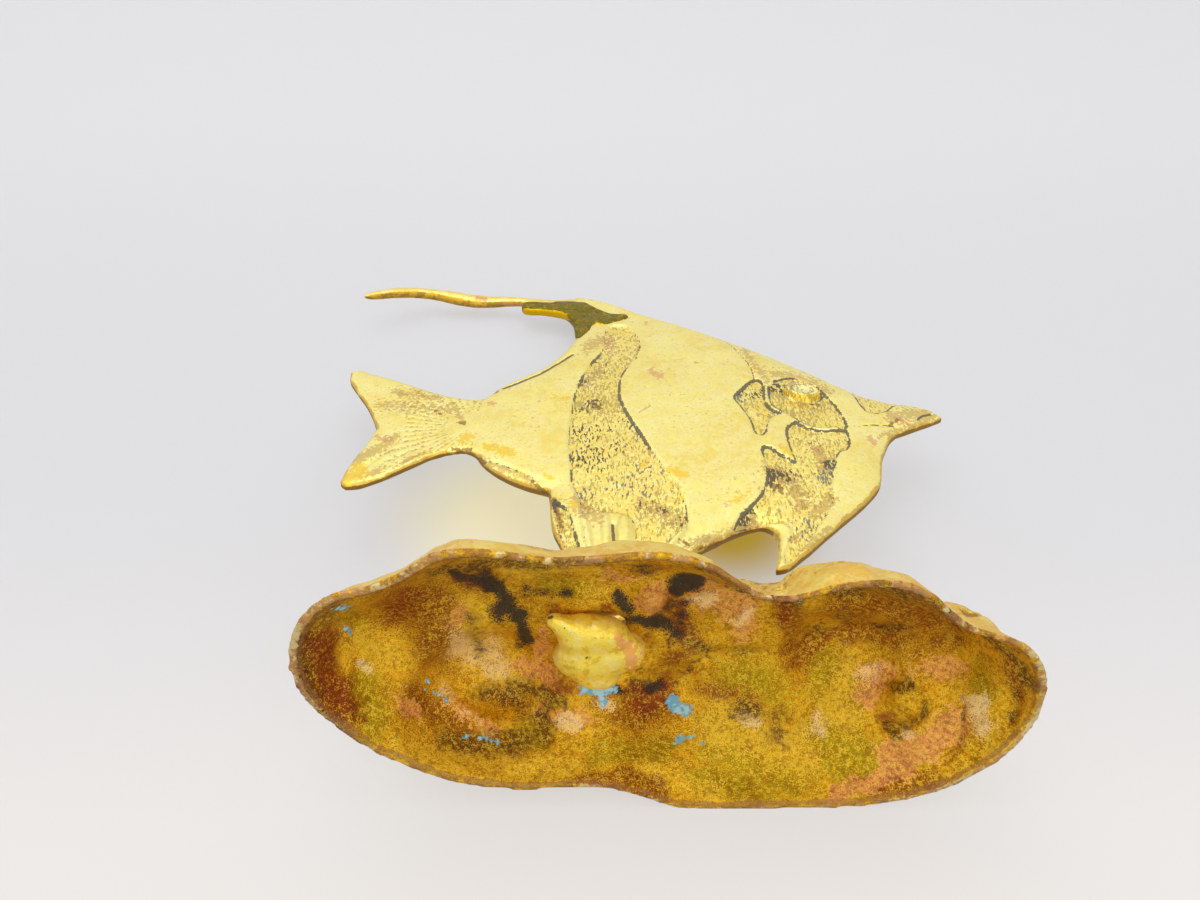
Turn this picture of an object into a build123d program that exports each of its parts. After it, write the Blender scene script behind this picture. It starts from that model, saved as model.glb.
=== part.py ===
from build123d import *

import math
import os

# A cast brass reef fish that stands on a hollow cast rock base.
# +Z is up from the table, +X is towards the fish's nose and the fish lies in the XZ plane.
# The origin is on the table, in the middle of the whole ornament. All lengths are in millimetres.

# The fish
FISH_LENGTH = 190.5
FISH_HEIGHT = 177.0
EDGE_THICKNESS = 2.8
BODY_THICKNESS = 10.0
RELIEF_DEPTH = 0.8
EYE_RADIUS = 5.8
EYE_RING_RADIUS = 1.3
RAY_GROOVE_WIDTH = 0.7
RAY_GROOVE_DEPTH = 0.45
MOUTH_WIDTH = 0.6
GRASS_WIDTH = 5.0
GRASS_RISE = 0.9

# The streamer, a tapered bar that trails behind the dorsal peak
STREAMER_ROOT_HEIGHT = 12.6
STREAMER_THICKNESS = 3.0
STREAMER_OVERHANG = 4.0
STREAMER_SWAY = 6.0
STREAMER_JOINT_GAP = 0.1
STREAMER_BRAZE_DEPTH = 1.0

# The base
BASE_LENGTH = 166.4
BASE_DEPTH = 80.0
BASE_HEIGHT = 27.0
BASE_WALL = 2.5
BASE_FORWARD = 6.45
BOSS_RADIUS = 4.0

# The foot that carries the fish, the flat seat for it in the rock, and the braze that holds it
FOOT_BACK = 7.95
FOOT_LENGTH = 17.0
FOOT_THICKNESS = 6.0
FOOT_HEIGHT = 16.0
SEAT_LENGTH = 27.0
SEAT_WIDTH = 21.0
SEAT_THICKNESS = 4.5
TENON_LENGTH = 11.0
TENON_THICKNESS = 4.0
TENON_REACH = 2.0
TENON_CLEARANCE = 0.1
BRAZE_LENGTH = 21.0
BRAZE_WIDTH = 17.0
BRAZE_DROP = 7.0

# One overrun serves every cut
OVERRUN = 1.0

# Places that follow from the sizes above
NOSE_X = (FISH_LENGTH + STREAMER_OVERHANG) / 2
TAIL_X = NOSE_X - FISH_LENGTH
SEAT_Z = BASE_HEIGHT - BASE_WALL / 2
FOOT_X = BASE_FORWARD - FOOT_BACK - FOOT_LENGTH / 2

# Outline of the fish, in stretches between its corners: shares of its length from the tail
# and of its height above the rock
BACK_SHARES = [
    (1.000, 0.506), (0.987, 0.526), (0.942, 0.545), (0.900, 0.567), (0.858, 0.606),
    (0.795, 0.679), (0.664, 0.808), (0.517, 0.921), (0.451, 0.977), (0.386, 1.000),
]
REAR_SHARES = [
    (0.386, 0.926), (0.396, 0.859), (0.399, 0.819), (0.380, 0.756), (0.344, 0.687),
    (0.273, 0.614), (0.241, 0.572), (0.202, 0.577), (0.092, 0.639), (0.018, 0.676), (0.000, 0.677),
]
TAIL_UPPER_SHARES = [(0.000, 0.677), (0.025, 0.602), (0.064, 0.523), (0.081, 0.469)]
TAIL_LOWER_SHARES = [(0.081, 0.469), (0.071, 0.407), (0.052, 0.339), (0.058, 0.297)]
UNDER_TAIL_SHARES = [
    (0.058, 0.297), (0.097, 0.308), (0.150, 0.356), (0.207, 0.398), (0.244, 0.398),
    (0.259, 0.366), (0.296, 0.320), (0.365, 0.277),
]
ANAL_FIN_SHARES = [(0.365, 0.277), (0.369, 0.226), (0.375, 0.175), (0.388, 0.136)]
BELLY_SHARES = [(0.570, 0.126), (0.622, 0.165), (0.682, 0.182)]
PELVIC_FRONT_SHARES = [(0.682, 0.182), (0.683, 0.142), (0.672, 0.086)]
PELVIC_REAR_SHARES = [
    (0.672, 0.086), (0.752, 0.166), (0.826, 0.253), (0.866, 0.339), (0.884, 0.405), (0.913, 0.455),
]
JAW_SHARES = [(0.913, 0.455), (0.953, 0.478), (1.000, 0.506)]

# Recessed, textured markings on each face, in the same shares
BAND_SHARES = [
    (0.449, 0.825), (0.446, 0.734), (0.423, 0.664), (0.396, 0.520), (0.388, 0.395), (0.396, 0.282),
    (0.420, 0.198), (0.480, 0.184), (0.546, 0.136), (0.562, 0.184), (0.535, 0.285), (0.493, 0.432),
    (0.475, 0.531), (0.486, 0.638), (0.517, 0.754), (0.496, 0.819),
]
GILL_MARK_SHARES = [
    (0.659, 0.525), (0.696, 0.596), (0.714, 0.571), (0.711, 0.503), (0.730, 0.472), (0.706, 0.444),
    (0.693, 0.407), (0.677, 0.469),
]
CHEEK_SHARES = [
    (0.732, 0.424), (0.751, 0.446), (0.785, 0.427), (0.827, 0.429), (0.824, 0.390), (0.798, 0.347),
    (0.793, 0.305), (0.766, 0.226), (0.735, 0.175), (0.700, 0.222), (0.655, 0.215), (0.680, 0.262),
    (0.688, 0.362), (0.711, 0.350), (0.730, 0.362),
]
BROW_SHARES = [(0.874, 0.565), (0.892, 0.492), (0.918, 0.496), (0.938, 0.532), (0.900, 0.552)]
EYE_SHARE = (0.776, 0.556)
MOUTH_SHARES = [(0.858, 0.441), (0.908, 0.444)]
RAY_ROOT_SHARE = (0.214, 0.489)
RAY_TIP_SHARES = [
    (0.066, 0.640), (0.084, 0.590), (0.098, 0.540), (0.108, 0.490), (0.102, 0.440), (0.088, 0.385),
    (0.078, 0.340),
]
RAY_START_SHARE = 0.22

# Middle and half sizes of the lens that domes the body, in the same shares
DOME_CENTRE_SHARE = (0.622, 0.486)
DOME_REACH_SHARE = (0.385, 0.430)

# Blades of sea grass that fan out of the foot over both faces: root and tip, in the same shares
GRASS_SHARES = [
    ((0.432, 0.020), (0.388, 0.262)),
    ((0.440, 0.020), (0.444, 0.195)),
    ((0.448, 0.020), (0.478, 0.198)),
    ((0.456, 0.020), (0.560, 0.150)),
]

# The streamer from its root to its tip: how far along, its middle's height on the fish, its
# sway as a share of STREAMER_SWAY, and its height and thickness as shares of the root's
STREAMER_SHARES = [
    (0.000, 0.963, 0.00, 1.00, 0.80), (0.080, 0.974, 0.00, 0.66, 0.95),
    (0.170, 0.982, 0.00, 0.42, 1.00), (0.300, 1.001, 0.10, 0.38, 1.00),
    (0.440, 1.008, 0.20, 0.52, 1.20), (0.580, 1.014, 0.00, 0.44, 1.10),
    (0.735, 1.014, -0.33, 0.33, 1.00), (0.860, 0.992, -0.68, 0.28, 0.90),
    (0.950, 0.965, -0.88, 0.22, 0.75), (1.000, 0.949, -1.00, 0.10, 0.40),
]

# Lobes of the braze over the streamer's joint: place, half length and half height, all in
# shares of the fish
BRAZE_SHARES = [
    (0.350, 0.952, 0.060, 0.030), (0.392, 0.915, 0.038, 0.062), (0.425, 0.872, 0.042, 0.062),
    (0.462, 0.884, 0.030, 0.036),
]

# Rim of the base from its rear end, seen from above, as shares of its length and depth
# from its middle
RIM_SHARES = [
    (-0.499, -0.088), (-0.478, 0.076), (-0.401, 0.244), (-0.268, 0.393), (-0.153, 0.401),
    (-0.060, 0.409), (0.034, 0.483), (0.179, 0.493), (0.322, 0.464), (0.444, 0.306),
    (0.500, 0.057), (0.455, -0.174), (0.370, -0.265), (0.284, -0.398), (0.211, -0.399),
    (0.114, -0.364), (0.050, -0.419), (-0.048, -0.483), (-0.145, -0.479), (-0.229, -0.500),
    (-0.300, -0.484), (-0.350, -0.415), (-0.447, -0.319),
]
# How the rock closes in with height: shares of the rim's reach and of the base's height
DOME_STEP_SHARES = [
    (1.00, 0.00), (0.97, 0.17), (0.90, 0.36), (0.78, 0.56), (0.60, 0.77), (0.36, 0.93), (0.14, 0.99),
]
# Mounds on the rock: place as shares of its length and depth, then half length and half
# depth as shares of its depth, and top as a share of its height
MOUND_SHARES = [
    (-0.237, 0.150, 0.34, 0.25, 1.10),
    (0.242, 0.100, 0.31, 0.27, 1.17),
    (0.010, 0.220, 0.28, 0.22, 1.00),
    (-0.380, -0.050, 0.22, 0.24, 0.78),
    (0.375, 0.010, 0.19, 0.24, 0.86),
    (-0.160, -0.190, 0.28, 0.21, 0.88),
    (0.245, -0.115, 0.22, 0.18, 0.92),
]
# The boss inside the base, and the three lobes of the braze lump round the tenon: places
# as shares of the base's length and depth, and sizes as shares of the lump's
BOSS_SHARE = (-0.022, -0.125)
BRAZE_LOBE_SHARES = [(0.00, 0.00, 1.00, 1.00), (0.34, -0.10, 0.56, 0.78), (-0.36, -0.38, 0.38, 0.45)]


def fish_point(share):
    """A place on the fish's middle plane, from shares of its length and height."""
    return Vector(TAIL_X + share[0] * FISH_LENGTH, 0, SEAT_Z + share[1] * FISH_HEIGHT)


def curve(shares):
    """A smooth stretch of the fish's outline through its points."""
    return Spline([fish_point(share) for share in shares])


def patch(shares):
    """A closed smooth area on the fish's middle plane."""
    return make_face(Spline([fish_point(share) for share in shares], periodic=True))


def plate(face, thickness):
    """The face thickened evenly to both sides of the fish's middle plane."""
    return extrude(face, amount=thickness / 2, dir=(0, 1, 0), both=True)


def lens(thickness):
    """The domed volume that swells the body, of the given thickness in its middle."""
    centre = fish_point(DOME_CENTRE_SHARE)
    reach_x = DOME_REACH_SHARE[0] * FISH_LENGTH
    reach_z = DOME_REACH_SHARE[1] * FISH_HEIGHT
    shape = scale(Sphere(1), by=(reach_x, thickness / 2, reach_z))
    return Pos(centre.X, 0, centre.Z) * shape


def half_thickness(place):
    """Half of the body's thickness at a place on its middle plane."""
    centre = fish_point(DOME_CENTRE_SHARE)
    across = (place.X - centre.X) / (DOME_REACH_SHARE[0] * FISH_LENGTH)
    along = (place.Z - centre.Z) / (DOME_REACH_SHARE[1] * FISH_HEIGHT)
    return BODY_THICKNESS / 2 * math.sqrt(max(0, 1 - across**2 - along**2))


def fish_outline():
    """The whole outline as one face, its foot ending on the seat."""
    foot_rear = Vector(FOOT_X - FOOT_LENGTH / 2, 0, SEAT_Z)
    foot_front = Vector(FOOT_X + FOOT_LENGTH / 2, 0, SEAT_Z)
    belly_start = fish_point(BELLY_SHARES[0])
    edges = [
        curve(BACK_SHARES),
        Line(fish_point(BACK_SHARES[-1]), fish_point(REAR_SHARES[0])),
        curve(REAR_SHARES),
        curve(TAIL_UPPER_SHARES),
        curve(TAIL_LOWER_SHARES),
        curve(UNDER_TAIL_SHARES),
        curve(ANAL_FIN_SHARES),
        Line(fish_point(ANAL_FIN_SHARES[-1]), foot_rear),
        Line(foot_rear, foot_front),
        Line(foot_front, belly_start),
        curve(BELLY_SHARES),
        curve(PELVIC_FRONT_SHARES),
        curve(PELVIC_REAR_SHARES),
        curve(JAW_SHARES),
    ]
    return make_face(edges)


def markings():
    """The recessed areas cut from both faces down to an inner lens."""
    areas = [patch(s) for s in (BAND_SHARES, GILL_MARK_SHARES, CHEEK_SHARES, BROW_SHARES)]
    floor = lens(BODY_THICKNESS - 2 * RELIEF_DEPTH)
    return [plate(area, BODY_THICKNESS + OVERRUN) - floor for area in areas]


def groove(start, end, width, depth, side):
    """A straight groove in the plate's face on one side, between two places."""
    run = end - start
    middle = (start + end) * 0.5
    tilt = math.degrees(math.atan2(run.Z, run.X))
    face_y = side * (EDGE_THICKNESS / 2 - depth / 2)
    return Pos(middle.X, face_y, middle.Z) * Rot(0, -tilt, 0) * Box(run.length, depth, width)


def tail_rays():
    """The fan of grooves on both faces of the tail."""
    root = fish_point(RAY_ROOT_SHARE)
    grooves = []
    for share in RAY_TIP_SHARES:
        tip = fish_point(share)
        start = root + (tip - root) * RAY_START_SHARE
        for side in (-1, 1):
            grooves.append(groove(start, tip, RAY_GROOVE_WIDTH, RAY_GROOVE_DEPTH, side))
    return grooves


def eye(side):
    """The raised ring and the flat pupil of one eye."""
    place = fish_point(EYE_SHARE)
    face_y = side * (half_thickness(place) - EYE_RING_RADIUS / 2)
    ring = Torus(EYE_RADIUS - EYE_RING_RADIUS, EYE_RING_RADIUS)
    pupil = Cylinder(EYE_RADIUS - EYE_RING_RADIUS, EYE_RING_RADIUS)
    return Pos(place.X, face_y, place.Z) * Rot(90, 0, 0) * (ring + pupil)


def mouth():
    """The slit of the mouth through both cheeks of the snout."""
    start, end = (fish_point(share) for share in MOUTH_SHARES)
    depth = half_thickness(start) - RELIEF_DEPTH
    slit = Box(end.X - start.X, BODY_THICKNESS, MOUTH_WIDTH)
    core = Box(end.X - start.X + OVERRUN, 2 * depth, MOUTH_WIDTH + OVERRUN)
    return Pos((start.X + end.X) / 2, 0, start.Z) * (slit - core)


def grass_blade(root_share, tip_share):
    """One slender blade that stands proud of both faces and tapers to both ends."""
    root, tip = fish_point(root_share), fish_point(tip_share)
    middle = (root + tip) * 0.5
    run = (tip - root).normalized()
    across = Vector(-run.Z, 0, run.X) * (GRASS_WIDTH / 2)
    outline = make_face(Polyline([root, middle + across, tip, middle - across], close=True))
    return plate(outline, 2 * (half_thickness(middle) + GRASS_RISE))


def foot_wedge():
    """A prism along the foot that tapers up from the seat to the plate's thickness."""
    top = SEAT_Z + FOOT_HEIGHT
    corners = [
        Vector(FOOT_X, -FOOT_THICKNESS / 2, SEAT_Z),
        Vector(FOOT_X, FOOT_THICKNESS / 2, SEAT_Z),
        Vector(FOOT_X, EDGE_THICKNESS / 2, top),
        Vector(FOOT_X, -EDGE_THICKNESS / 2, top),
    ]
    section = make_face(Polyline(corners, close=True))
    return extrude(section, amount=FOOT_LENGTH / 2 + FOOT_HEIGHT, dir=(1, 0, 0), both=True)


def fish_blank():
    """The plain casting: a flat plate with a domed body and a thicker foot."""
    outline = fish_outline()
    body = plate(outline, EDGE_THICKNESS)
    body += plate(outline, BODY_THICKNESS) & lens(BODY_THICKNESS)
    return body + (plate(outline, BODY_THICKNESS) & foot_wedge())


def fish_casting():
    """Body, tail, fins, sea grass and foot, cast in one."""
    body = fish_blank()
    for recess in markings() + tail_rays() + [mouth()]:
        body -= recess
    for side in (-1, 1):
        body += eye(side)
    for root_share, tip_share in GRASS_SHARES:
        body += grass_blade(root_share, tip_share)
    return body + tenon(0)


def tenon(clearance):
    """The tongue of the foot that passes through the seat, grown by a clearance."""
    shape = Box(
        TENON_LENGTH + 2 * clearance,
        TENON_THICKNESS + 2 * clearance,
        SEAT_THICKNESS + TENON_REACH,
        align=(Align.CENTER, Align.CENTER, Align.MAX),
    )
    return Pos(FOOT_X, 0, SEAT_Z) * shape


def rock_level(reach, height, length, depth):
    """The closed curve round the rock at one height."""
    points = [
        Vector(BASE_FORWARD + x * reach * length, y * reach * depth, height) for x, y in RIM_SHARES
    ]
    return make_face(Spline(points, periodic=True))


def rock_dome(inset):
    """The rock's rounded body, or its hollow when inset by the wall."""
    length = BASE_LENGTH - 2 * inset
    depth = BASE_DEPTH - 2 * inset
    height = BASE_HEIGHT - inset
    levels = [rock_level(reach, up * height, length, depth) for reach, up in DOME_STEP_SHARES]
    return loft(levels)


def mound(shares, inset):
    """One swelling of the rock, or its hollow when inset by the wall."""
    x, y, half_length, half_depth, top = shares
    reach_x = half_length * BASE_DEPTH - inset
    reach_y = half_depth * BASE_DEPTH - inset
    shape = scale(Sphere(1), by=(reach_x, reach_y, top * BASE_HEIGHT - inset))
    return Pos(BASE_FORWARD + x * BASE_LENGTH, y * BASE_DEPTH, 0) * shape


def rock_solid(inset=0):
    """The rock as a solid lump above the table."""
    rock = rock_dome(inset)
    for shares in MOUND_SHARES:
        rock += mound(shares, inset)
    below = Pos(BASE_FORWARD, 0, 0) * Box(
        2 * BASE_LENGTH,
        2 * BASE_DEPTH,
        2 * BASE_HEIGHT,
        align=(Align.CENTER, Align.CENTER, Align.MAX),
    )
    return rock - below


def seat_pad(low, high):
    """An oval block round the foot, between two heights."""
    oval = Ellipse(SEAT_LENGTH / 2, SEAT_WIDTH / 2)
    return Pos(FOOT_X, 0, low) * extrude(oval, amount=high - low)


def rock_base():
    """The hollow casting, open below, with its flat seat, inner boss and slot for the foot."""
    hollow = rock_solid(BASE_WALL) - seat_pad(SEAT_Z - SEAT_THICKNESS, BASE_HEIGHT)
    x, y = BOSS_SHARE
    boss_z = BASE_HEIGHT - BASE_WALL - BOSS_RADIUS / 2
    boss = Pos(BASE_FORWARD + x * BASE_LENGTH, y * BASE_DEPTH, boss_z) * Sphere(BOSS_RADIUS)
    rock = rock_solid() - seat_pad(SEAT_Z, 2 * BASE_HEIGHT)
    return rock - (hollow - boss) - tenon(TENON_CLEARANCE)


def base_braze():
    """The lump of braze over the end of the tenon, under the seat."""
    top = SEAT_Z - SEAT_THICKNESS
    lump = Part()
    for x, y, reach, drop in BRAZE_LOBE_SHARES:
        shape = scale(
            Sphere(1), by=(reach * BRAZE_LENGTH / 2, reach * BRAZE_WIDTH / 2, drop * BRAZE_DROP)
        )
        lump += Pos(FOOT_X + x * BRAZE_LENGTH, y * BRAZE_WIDTH, top) * shape
    return split(lump, bisect_by=Plane.XY.offset(top), keep=Keep.BOTTOM) - tenon(0)


def streamer_place(shares):
    """The middle of the streamer at one of its sections."""
    way, height, sway = shares[:3]
    joint_x = fish_point(REAR_SHARES[0]).X - STREAMER_JOINT_GAP
    return Vector(joint_x + way * (-NOSE_X - joint_x), sway * STREAMER_SWAY, SEAT_Z + height * FISH_HEIGHT)


def dorsal_streamer():
    """The trailing bar, lofted through its oval sections."""
    places = [streamer_place(shares) for shares in STREAMER_SHARES]
    sections = []
    for index, shares in enumerate(STREAMER_SHARES):
        ahead = places[min(index + 1, len(places) - 1)]
        behind = places[max(index - 1, 0)]
        heading = Vector(-1, 0, 0) if index == 0 else (ahead - behind).normalized()
        plane = Plane(origin=places[index], x_dir=Vector(0, 1, 0), z_dir=heading)
        oval = Ellipse(shares[4] * STREAMER_THICKNESS / 2, shares[3] * STREAMER_ROOT_HEIGHT / 2)
        sections.append(plane * oval)
    return loft(sections)


def streamer_braze(streamer):
    """The run of braze that wraps the streamer's joint and both faces of the dorsal peak."""
    run = Part()
    for x, z, half_length, half_height in BRAZE_SHARES:
        place = fish_point((x, z))
        half_width = max(half_thickness(place), EDGE_THICKNESS / 2) + STREAMER_BRAZE_DEPTH
        shape = scale(Sphere(1), by=(half_length * FISH_LENGTH, half_width, half_height * FISH_HEIGHT))
        run += Pos(place.X, 0, place.Z) * shape
    return run - fish_blank() - streamer


def main():
    os.makedirs("parts", exist_ok=True)
    streamer = dorsal_streamer()
    pieces = {
        "rock_base": rock_base(),
        "fish_casting": fish_casting(),
        "dorsal_streamer": streamer,
        "base_braze": base_braze(),
        "streamer_braze": streamer_braze(streamer),
    }
    for name, piece in pieces.items():
        export_step(piece, f"parts/{name}.step")


main()
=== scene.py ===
# A vintage cast brass reef fish on a hollow rock base, seen from below as it lies on its side.
# The part's own frame is kept: +Z up from the base's rim, +X towards the nose, -Y the shown side.
# Modelling sizes and places are in millimetres, and turn to metres when a mesh is filled.
import itertools
import math

import bmesh
import bpy
import numpy as np
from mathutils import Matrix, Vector
from mathutils.kdtree import KDTree


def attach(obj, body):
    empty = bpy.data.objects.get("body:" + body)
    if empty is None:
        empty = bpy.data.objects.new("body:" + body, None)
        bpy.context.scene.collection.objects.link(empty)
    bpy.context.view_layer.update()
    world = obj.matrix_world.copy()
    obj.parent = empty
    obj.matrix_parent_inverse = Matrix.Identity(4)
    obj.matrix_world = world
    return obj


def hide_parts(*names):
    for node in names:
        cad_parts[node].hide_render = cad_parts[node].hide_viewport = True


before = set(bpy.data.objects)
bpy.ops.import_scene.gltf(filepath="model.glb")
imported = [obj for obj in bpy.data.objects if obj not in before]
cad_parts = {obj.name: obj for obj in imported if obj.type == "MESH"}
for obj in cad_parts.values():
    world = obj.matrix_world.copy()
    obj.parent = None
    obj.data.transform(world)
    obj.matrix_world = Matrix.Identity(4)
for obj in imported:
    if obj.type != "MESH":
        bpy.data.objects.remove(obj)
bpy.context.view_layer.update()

MM = 0.001

# Camera
CAMERA_PLACE = np.array([-9.57, -170.96, -164.97])
CAMERA_TURN = math.radians(147.0)
CAMERA_AWAY = np.array([0.0, math.sin(CAMERA_TURN), -math.cos(CAMERA_TURN)])
CAMERA_UP = np.array([0.0, math.cos(CAMERA_TURN), math.sin(CAMERA_TURN)])
CAMERA_LENS = 31.5
CAMERA_SENSOR = 36.0
CAMERA_CLIP = (0.001, 20.0)
PHOTO_SIZE = np.array([1200, 900])
PHOTO_REACH = CAMERA_LENS / CAMERA_SENSOR * PHOTO_SIZE[0]

# The fish: half thicknesses, and the lens that domes its body
EDGE_HALF = 1.4
BODY_HALF = 4.7
DOME_CENTRE = (25.3, 111.8)
DOME_REACH = (73.0, 76.0)
DOME_SPREAD = 1.06
DOME_POWER = 1.15
EDGE_SLOPE = 0.34
EDGE_THICKER = 1.05
DOME_BLEND = 2.0
FOOT_HALF = 3.0
FOOT_RISE = (48.0, 28.0)
FOOT_START = (-22.0, -16.0)
FISH_VOXEL = 0.56
# Where a vertex counts as the flat face, as a share of the way out, and the rounding of the edge
FACE_SHARE = (0.55, 0.95)
EDGE_ROUND = 0.62
ROUND_REACH = 1.3
# Random patterns on the two faces are drawn this far apart, so that they differ
FACE_GAP = 3.0
# Depth of the markings, the slope of their walls, and the reach of the painted distances
RELIEF = 0.75
MARK_WALL = (-0.35, 0.65)
MARK_REACH = 5.0
RIM_INSET = 0.25
PALE_LINE = 0.6
STIPPLE_DEPTH = 0.16
STIPPLE_LIMITS = (-1.0, 0.4)
# Where the sea grass rises from the edge, and where it and the eye push the markings away
BLADE_INSET = (0.1, 0.9)
BLADE_CLEAR = (0.25, 0.9)
EYE_CLEAR = (0.1, 0.5)
CLEARED = 4.0
# The dark line round a blade: its height, steepness and least distance, and the blade's foot
BLADE_RIM = (0.3, 2.2, 0.2)
BLADE_FOOT = 0.05
# Darkness of the markings' rim lines, and how thick the dashes stand
LINE_DARK = (0.15, 0.375)
FADE_SPAN = (-0.3, 0.8)
DASH_LEAST = 0.3
DASH_PATCH_SHARE = 0.85
DASH_EDGE = (0.14, 1.3)
# Rubbed edges: how far in, how far they turn down into painted shade, and the same for the dark
# underside
WEAR_SPAN = (0.1, 1.5)
EDGE_SHADE_TURN = (0.3, -0.2)
WEAR_LEAST = 0.35
# The dark underside is painted shade on the sides that face down
UNDER_SHADE_TURN = (0.1, -0.6)
FAR_STAIN_SHIFT = 0.876
FAN_LEAST = 0.25

# Random swelling in layers, each a share, a size in mm and a seed
STIPPLE = [(0.6, 1.5, 3), (0.5, 0.9, 4)]
RAY_SWAY = [(1.2, 9.0, 5)]
FACE_WAVES = [(0.09, 13.0, 7), (0.035, 3.4, 8)]
LINE_FADE = [(1.0, 5.0, 11)]
DASH_CROWDS = [(0.1, 6.0, 12)]
EDGE_WEAR = [(0.5, 4.0, 13)]
STAIN_WARP = [(2.5, 1.8, 14)]
FAR_STAINS = [(1.6, 7.0, 15)]
AMBER_WARP = [(3.5, 2.4, 17)]
TAN_WARP = [(4.0, 2.0, 18)]
UMBER_WARP = [(2.5, 1.4, 19)]
HOLLOW_ROUGH = [(0.3, 8.0, 21), (0.2, 3.6, 22), (0.12, 1.7, 23)]
CRAG_LUMPS = [(0.7, 11.0, 31), (0.5, 5.5, 32)]
CRAG_GRIT = [(0.22, 2.0, 33)]
CRAG_PITS = [(1.0, 3.0, 34)]
HOLLOW_WARP = [(7.0, 4.0, 41), (5.0, 1.8, 42)]
STREAMER_ROUGH = [(0.14, 5.0, 51), (0.06, 2.0, 52)]
STREAMER_WARP = [(3.0, 1.6, 53)]
OLIVE_SWELL = [(0.5, 3.0, 55)]
LUMP_ROUGH = [(0.28, 4.2, 61), (0.14, 1.8, 62)]
LUMP_WARP = [(3.0, 1.8, 63)]

# Colours as they look in plain light, in bytes of red, green and blue
PALE_GOLD = (247, 230, 134)
WARM_GOLD = (238, 208, 92)
CREAM_GOLD = (250, 240, 172)
MOSS_GOLD = (206, 190, 88)
INK_BROWN = (58, 50, 42)
SLATE_BLUE = (92, 104, 112)
UMBER = (130, 92, 40)
ROSE = (204, 138, 104)
AMBER = (240, 198, 44)
DASH_TAN = (160, 130, 72)
LINE_INK = (76, 68, 60)
STAIN_TAN = (190, 152, 84)
STREAMER_GOLD = (240, 212, 104)
VERDIGRIS_PALE = (184, 218, 222)
DEEP_GOLD = (206, 156, 30)
PIT_BLACK = (34, 30, 24)
RUST_RED = (148, 54, 20)
RUST_BROWN = (148, 70, 6)
DARK_BROWN = (80, 40, 10)
SALMON = (234, 148, 84)
BLUSH = (255, 220, 160)
HOLLOW_GOLD = (226, 166, 26)
YELLOW_GOLD = (234, 184, 20)
LEAF_OLIVE = (172, 146, 0)
SPARK_GOLD = (255, 214, 58)
VERDIGRIS = (110, 178, 196)
STONE_GOLD = (234, 190, 84)
RIM_ROSE = (200, 148, 100)
LIP_BROWN = (150, 98, 58)
OLIVE = (122, 112, 0)
OLIVE_DARK = (92, 78, 0)
LUMP_GOLD = (255, 224, 78)

# Outline of the fish in stretches between its corners, along and up, in mm
BACK = [
    (97.2, 115.2), (95.0, 119.2), (90.5, 121.8), (86.0, 123.5), (78.0, 127.1), (70.0, 133.2),
    (58.0, 145.9), (33.0, 168.8), (19.0, 179.8), (5.0, 189.9), (-7.5, 199.9), (-14.0, 203.2),
    (-20.0, 204.6),
]
REAR = [
    (-20.0, 189.7), (-18.4, 182.5), (-17.6, 172.5), (-21.4, 160.2), (-28.2, 148.0), (-35.2, 141.0),
    (-41.5, 134.9), (-47.5, 127.0), (-55.0, 127.8), (-65.0, 132.2), (-76.0, 138.8), (-86.0, 143.9),
    (-91.0, 146.2), (-93.2, 145.2),
]
TAIL_UPPER = [
    (-93.2, 145.2), (-92.4, 139.5), (-88.8, 132.2), (-83.6, 122.6), (-80.1, 114.5), (-78.2, 109.0),
]
TAIL_LOWER = [
    (-78.2, 109.0), (-79.3, 102.5), (-81.9, 92.0), (-83.2, 84.0), (-83.1, 79.6), (-81.6, 78.2),
]
UNDER_TAIL = [
    (-81.6, 78.2), (-78.5, 78.6), (-73.6, 81.4), (-65.0, 88.6), (-58.5, 94.0), (-54.0, 96.2),
    (-49.5, 96.8), (-46.6, 94.8), (-44.3, 90.6), (-37.2, 82.6), (-30.0, 77.8), (-24.0, 75.2),
]
ANAL_FIN = [
    (-24.0, 75.2), (-23.4, 70.0), (-23.0, 64.5), (-22.0, 57.0), (-19.6, 50.0), (-18.0, 42.0),
]
FOOT = [(-18.0, 42.0), (-18.3, 27.0), (-18.3, 24.4), (-1.6, 24.4), (-1.6, 26.0), (15.2, 48.0)]
BELLY = [(15.2, 48.0), (20.2, 51.8), (25.3, 55.4), (31.0, 58.4), (34.4, 59.0), (36.3, 57.6)]
PELVIC_FRONT = [(36.3, 57.6), (37.1, 55.0), (36.8, 50.8), (35.8, 45.2), (34.8, 40.9)]
PELVIC_REAR = [
    (34.8, 40.9), (37.0, 41.4), (42.7, 46.4), (50.2, 54.8), (57.2, 62.5), (64.2, 70.4),
    (69.6, 78.3), (71.8, 86.0), (73.5, 92.3), (76.1, 98.4), (78.2, 102.6), (80.8, 105.8),
]
JAW = [(80.8, 105.8), (84.6, 107.9), (88.8, 110.3), (93.4, 112.8), (97.2, 115.2)]
STRETCHES = [
    BACK, REAR, TAIL_UPPER, TAIL_LOWER, UNDER_TAIL, ANAL_FIN, FOOT, BELLY, PELVIC_FRONT,
    PELVIC_REAR, JAW,
]

# Enlarged views of the photograph that the markings are read off: left, top and enlargement
BODY_VIEW = (540.0, 330.0, 6.03)
HEAD_VIEW = (720.0, 336.7, 6.19)
TAIL_VIEW = (320.0, 270.0, 4.9)

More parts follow.
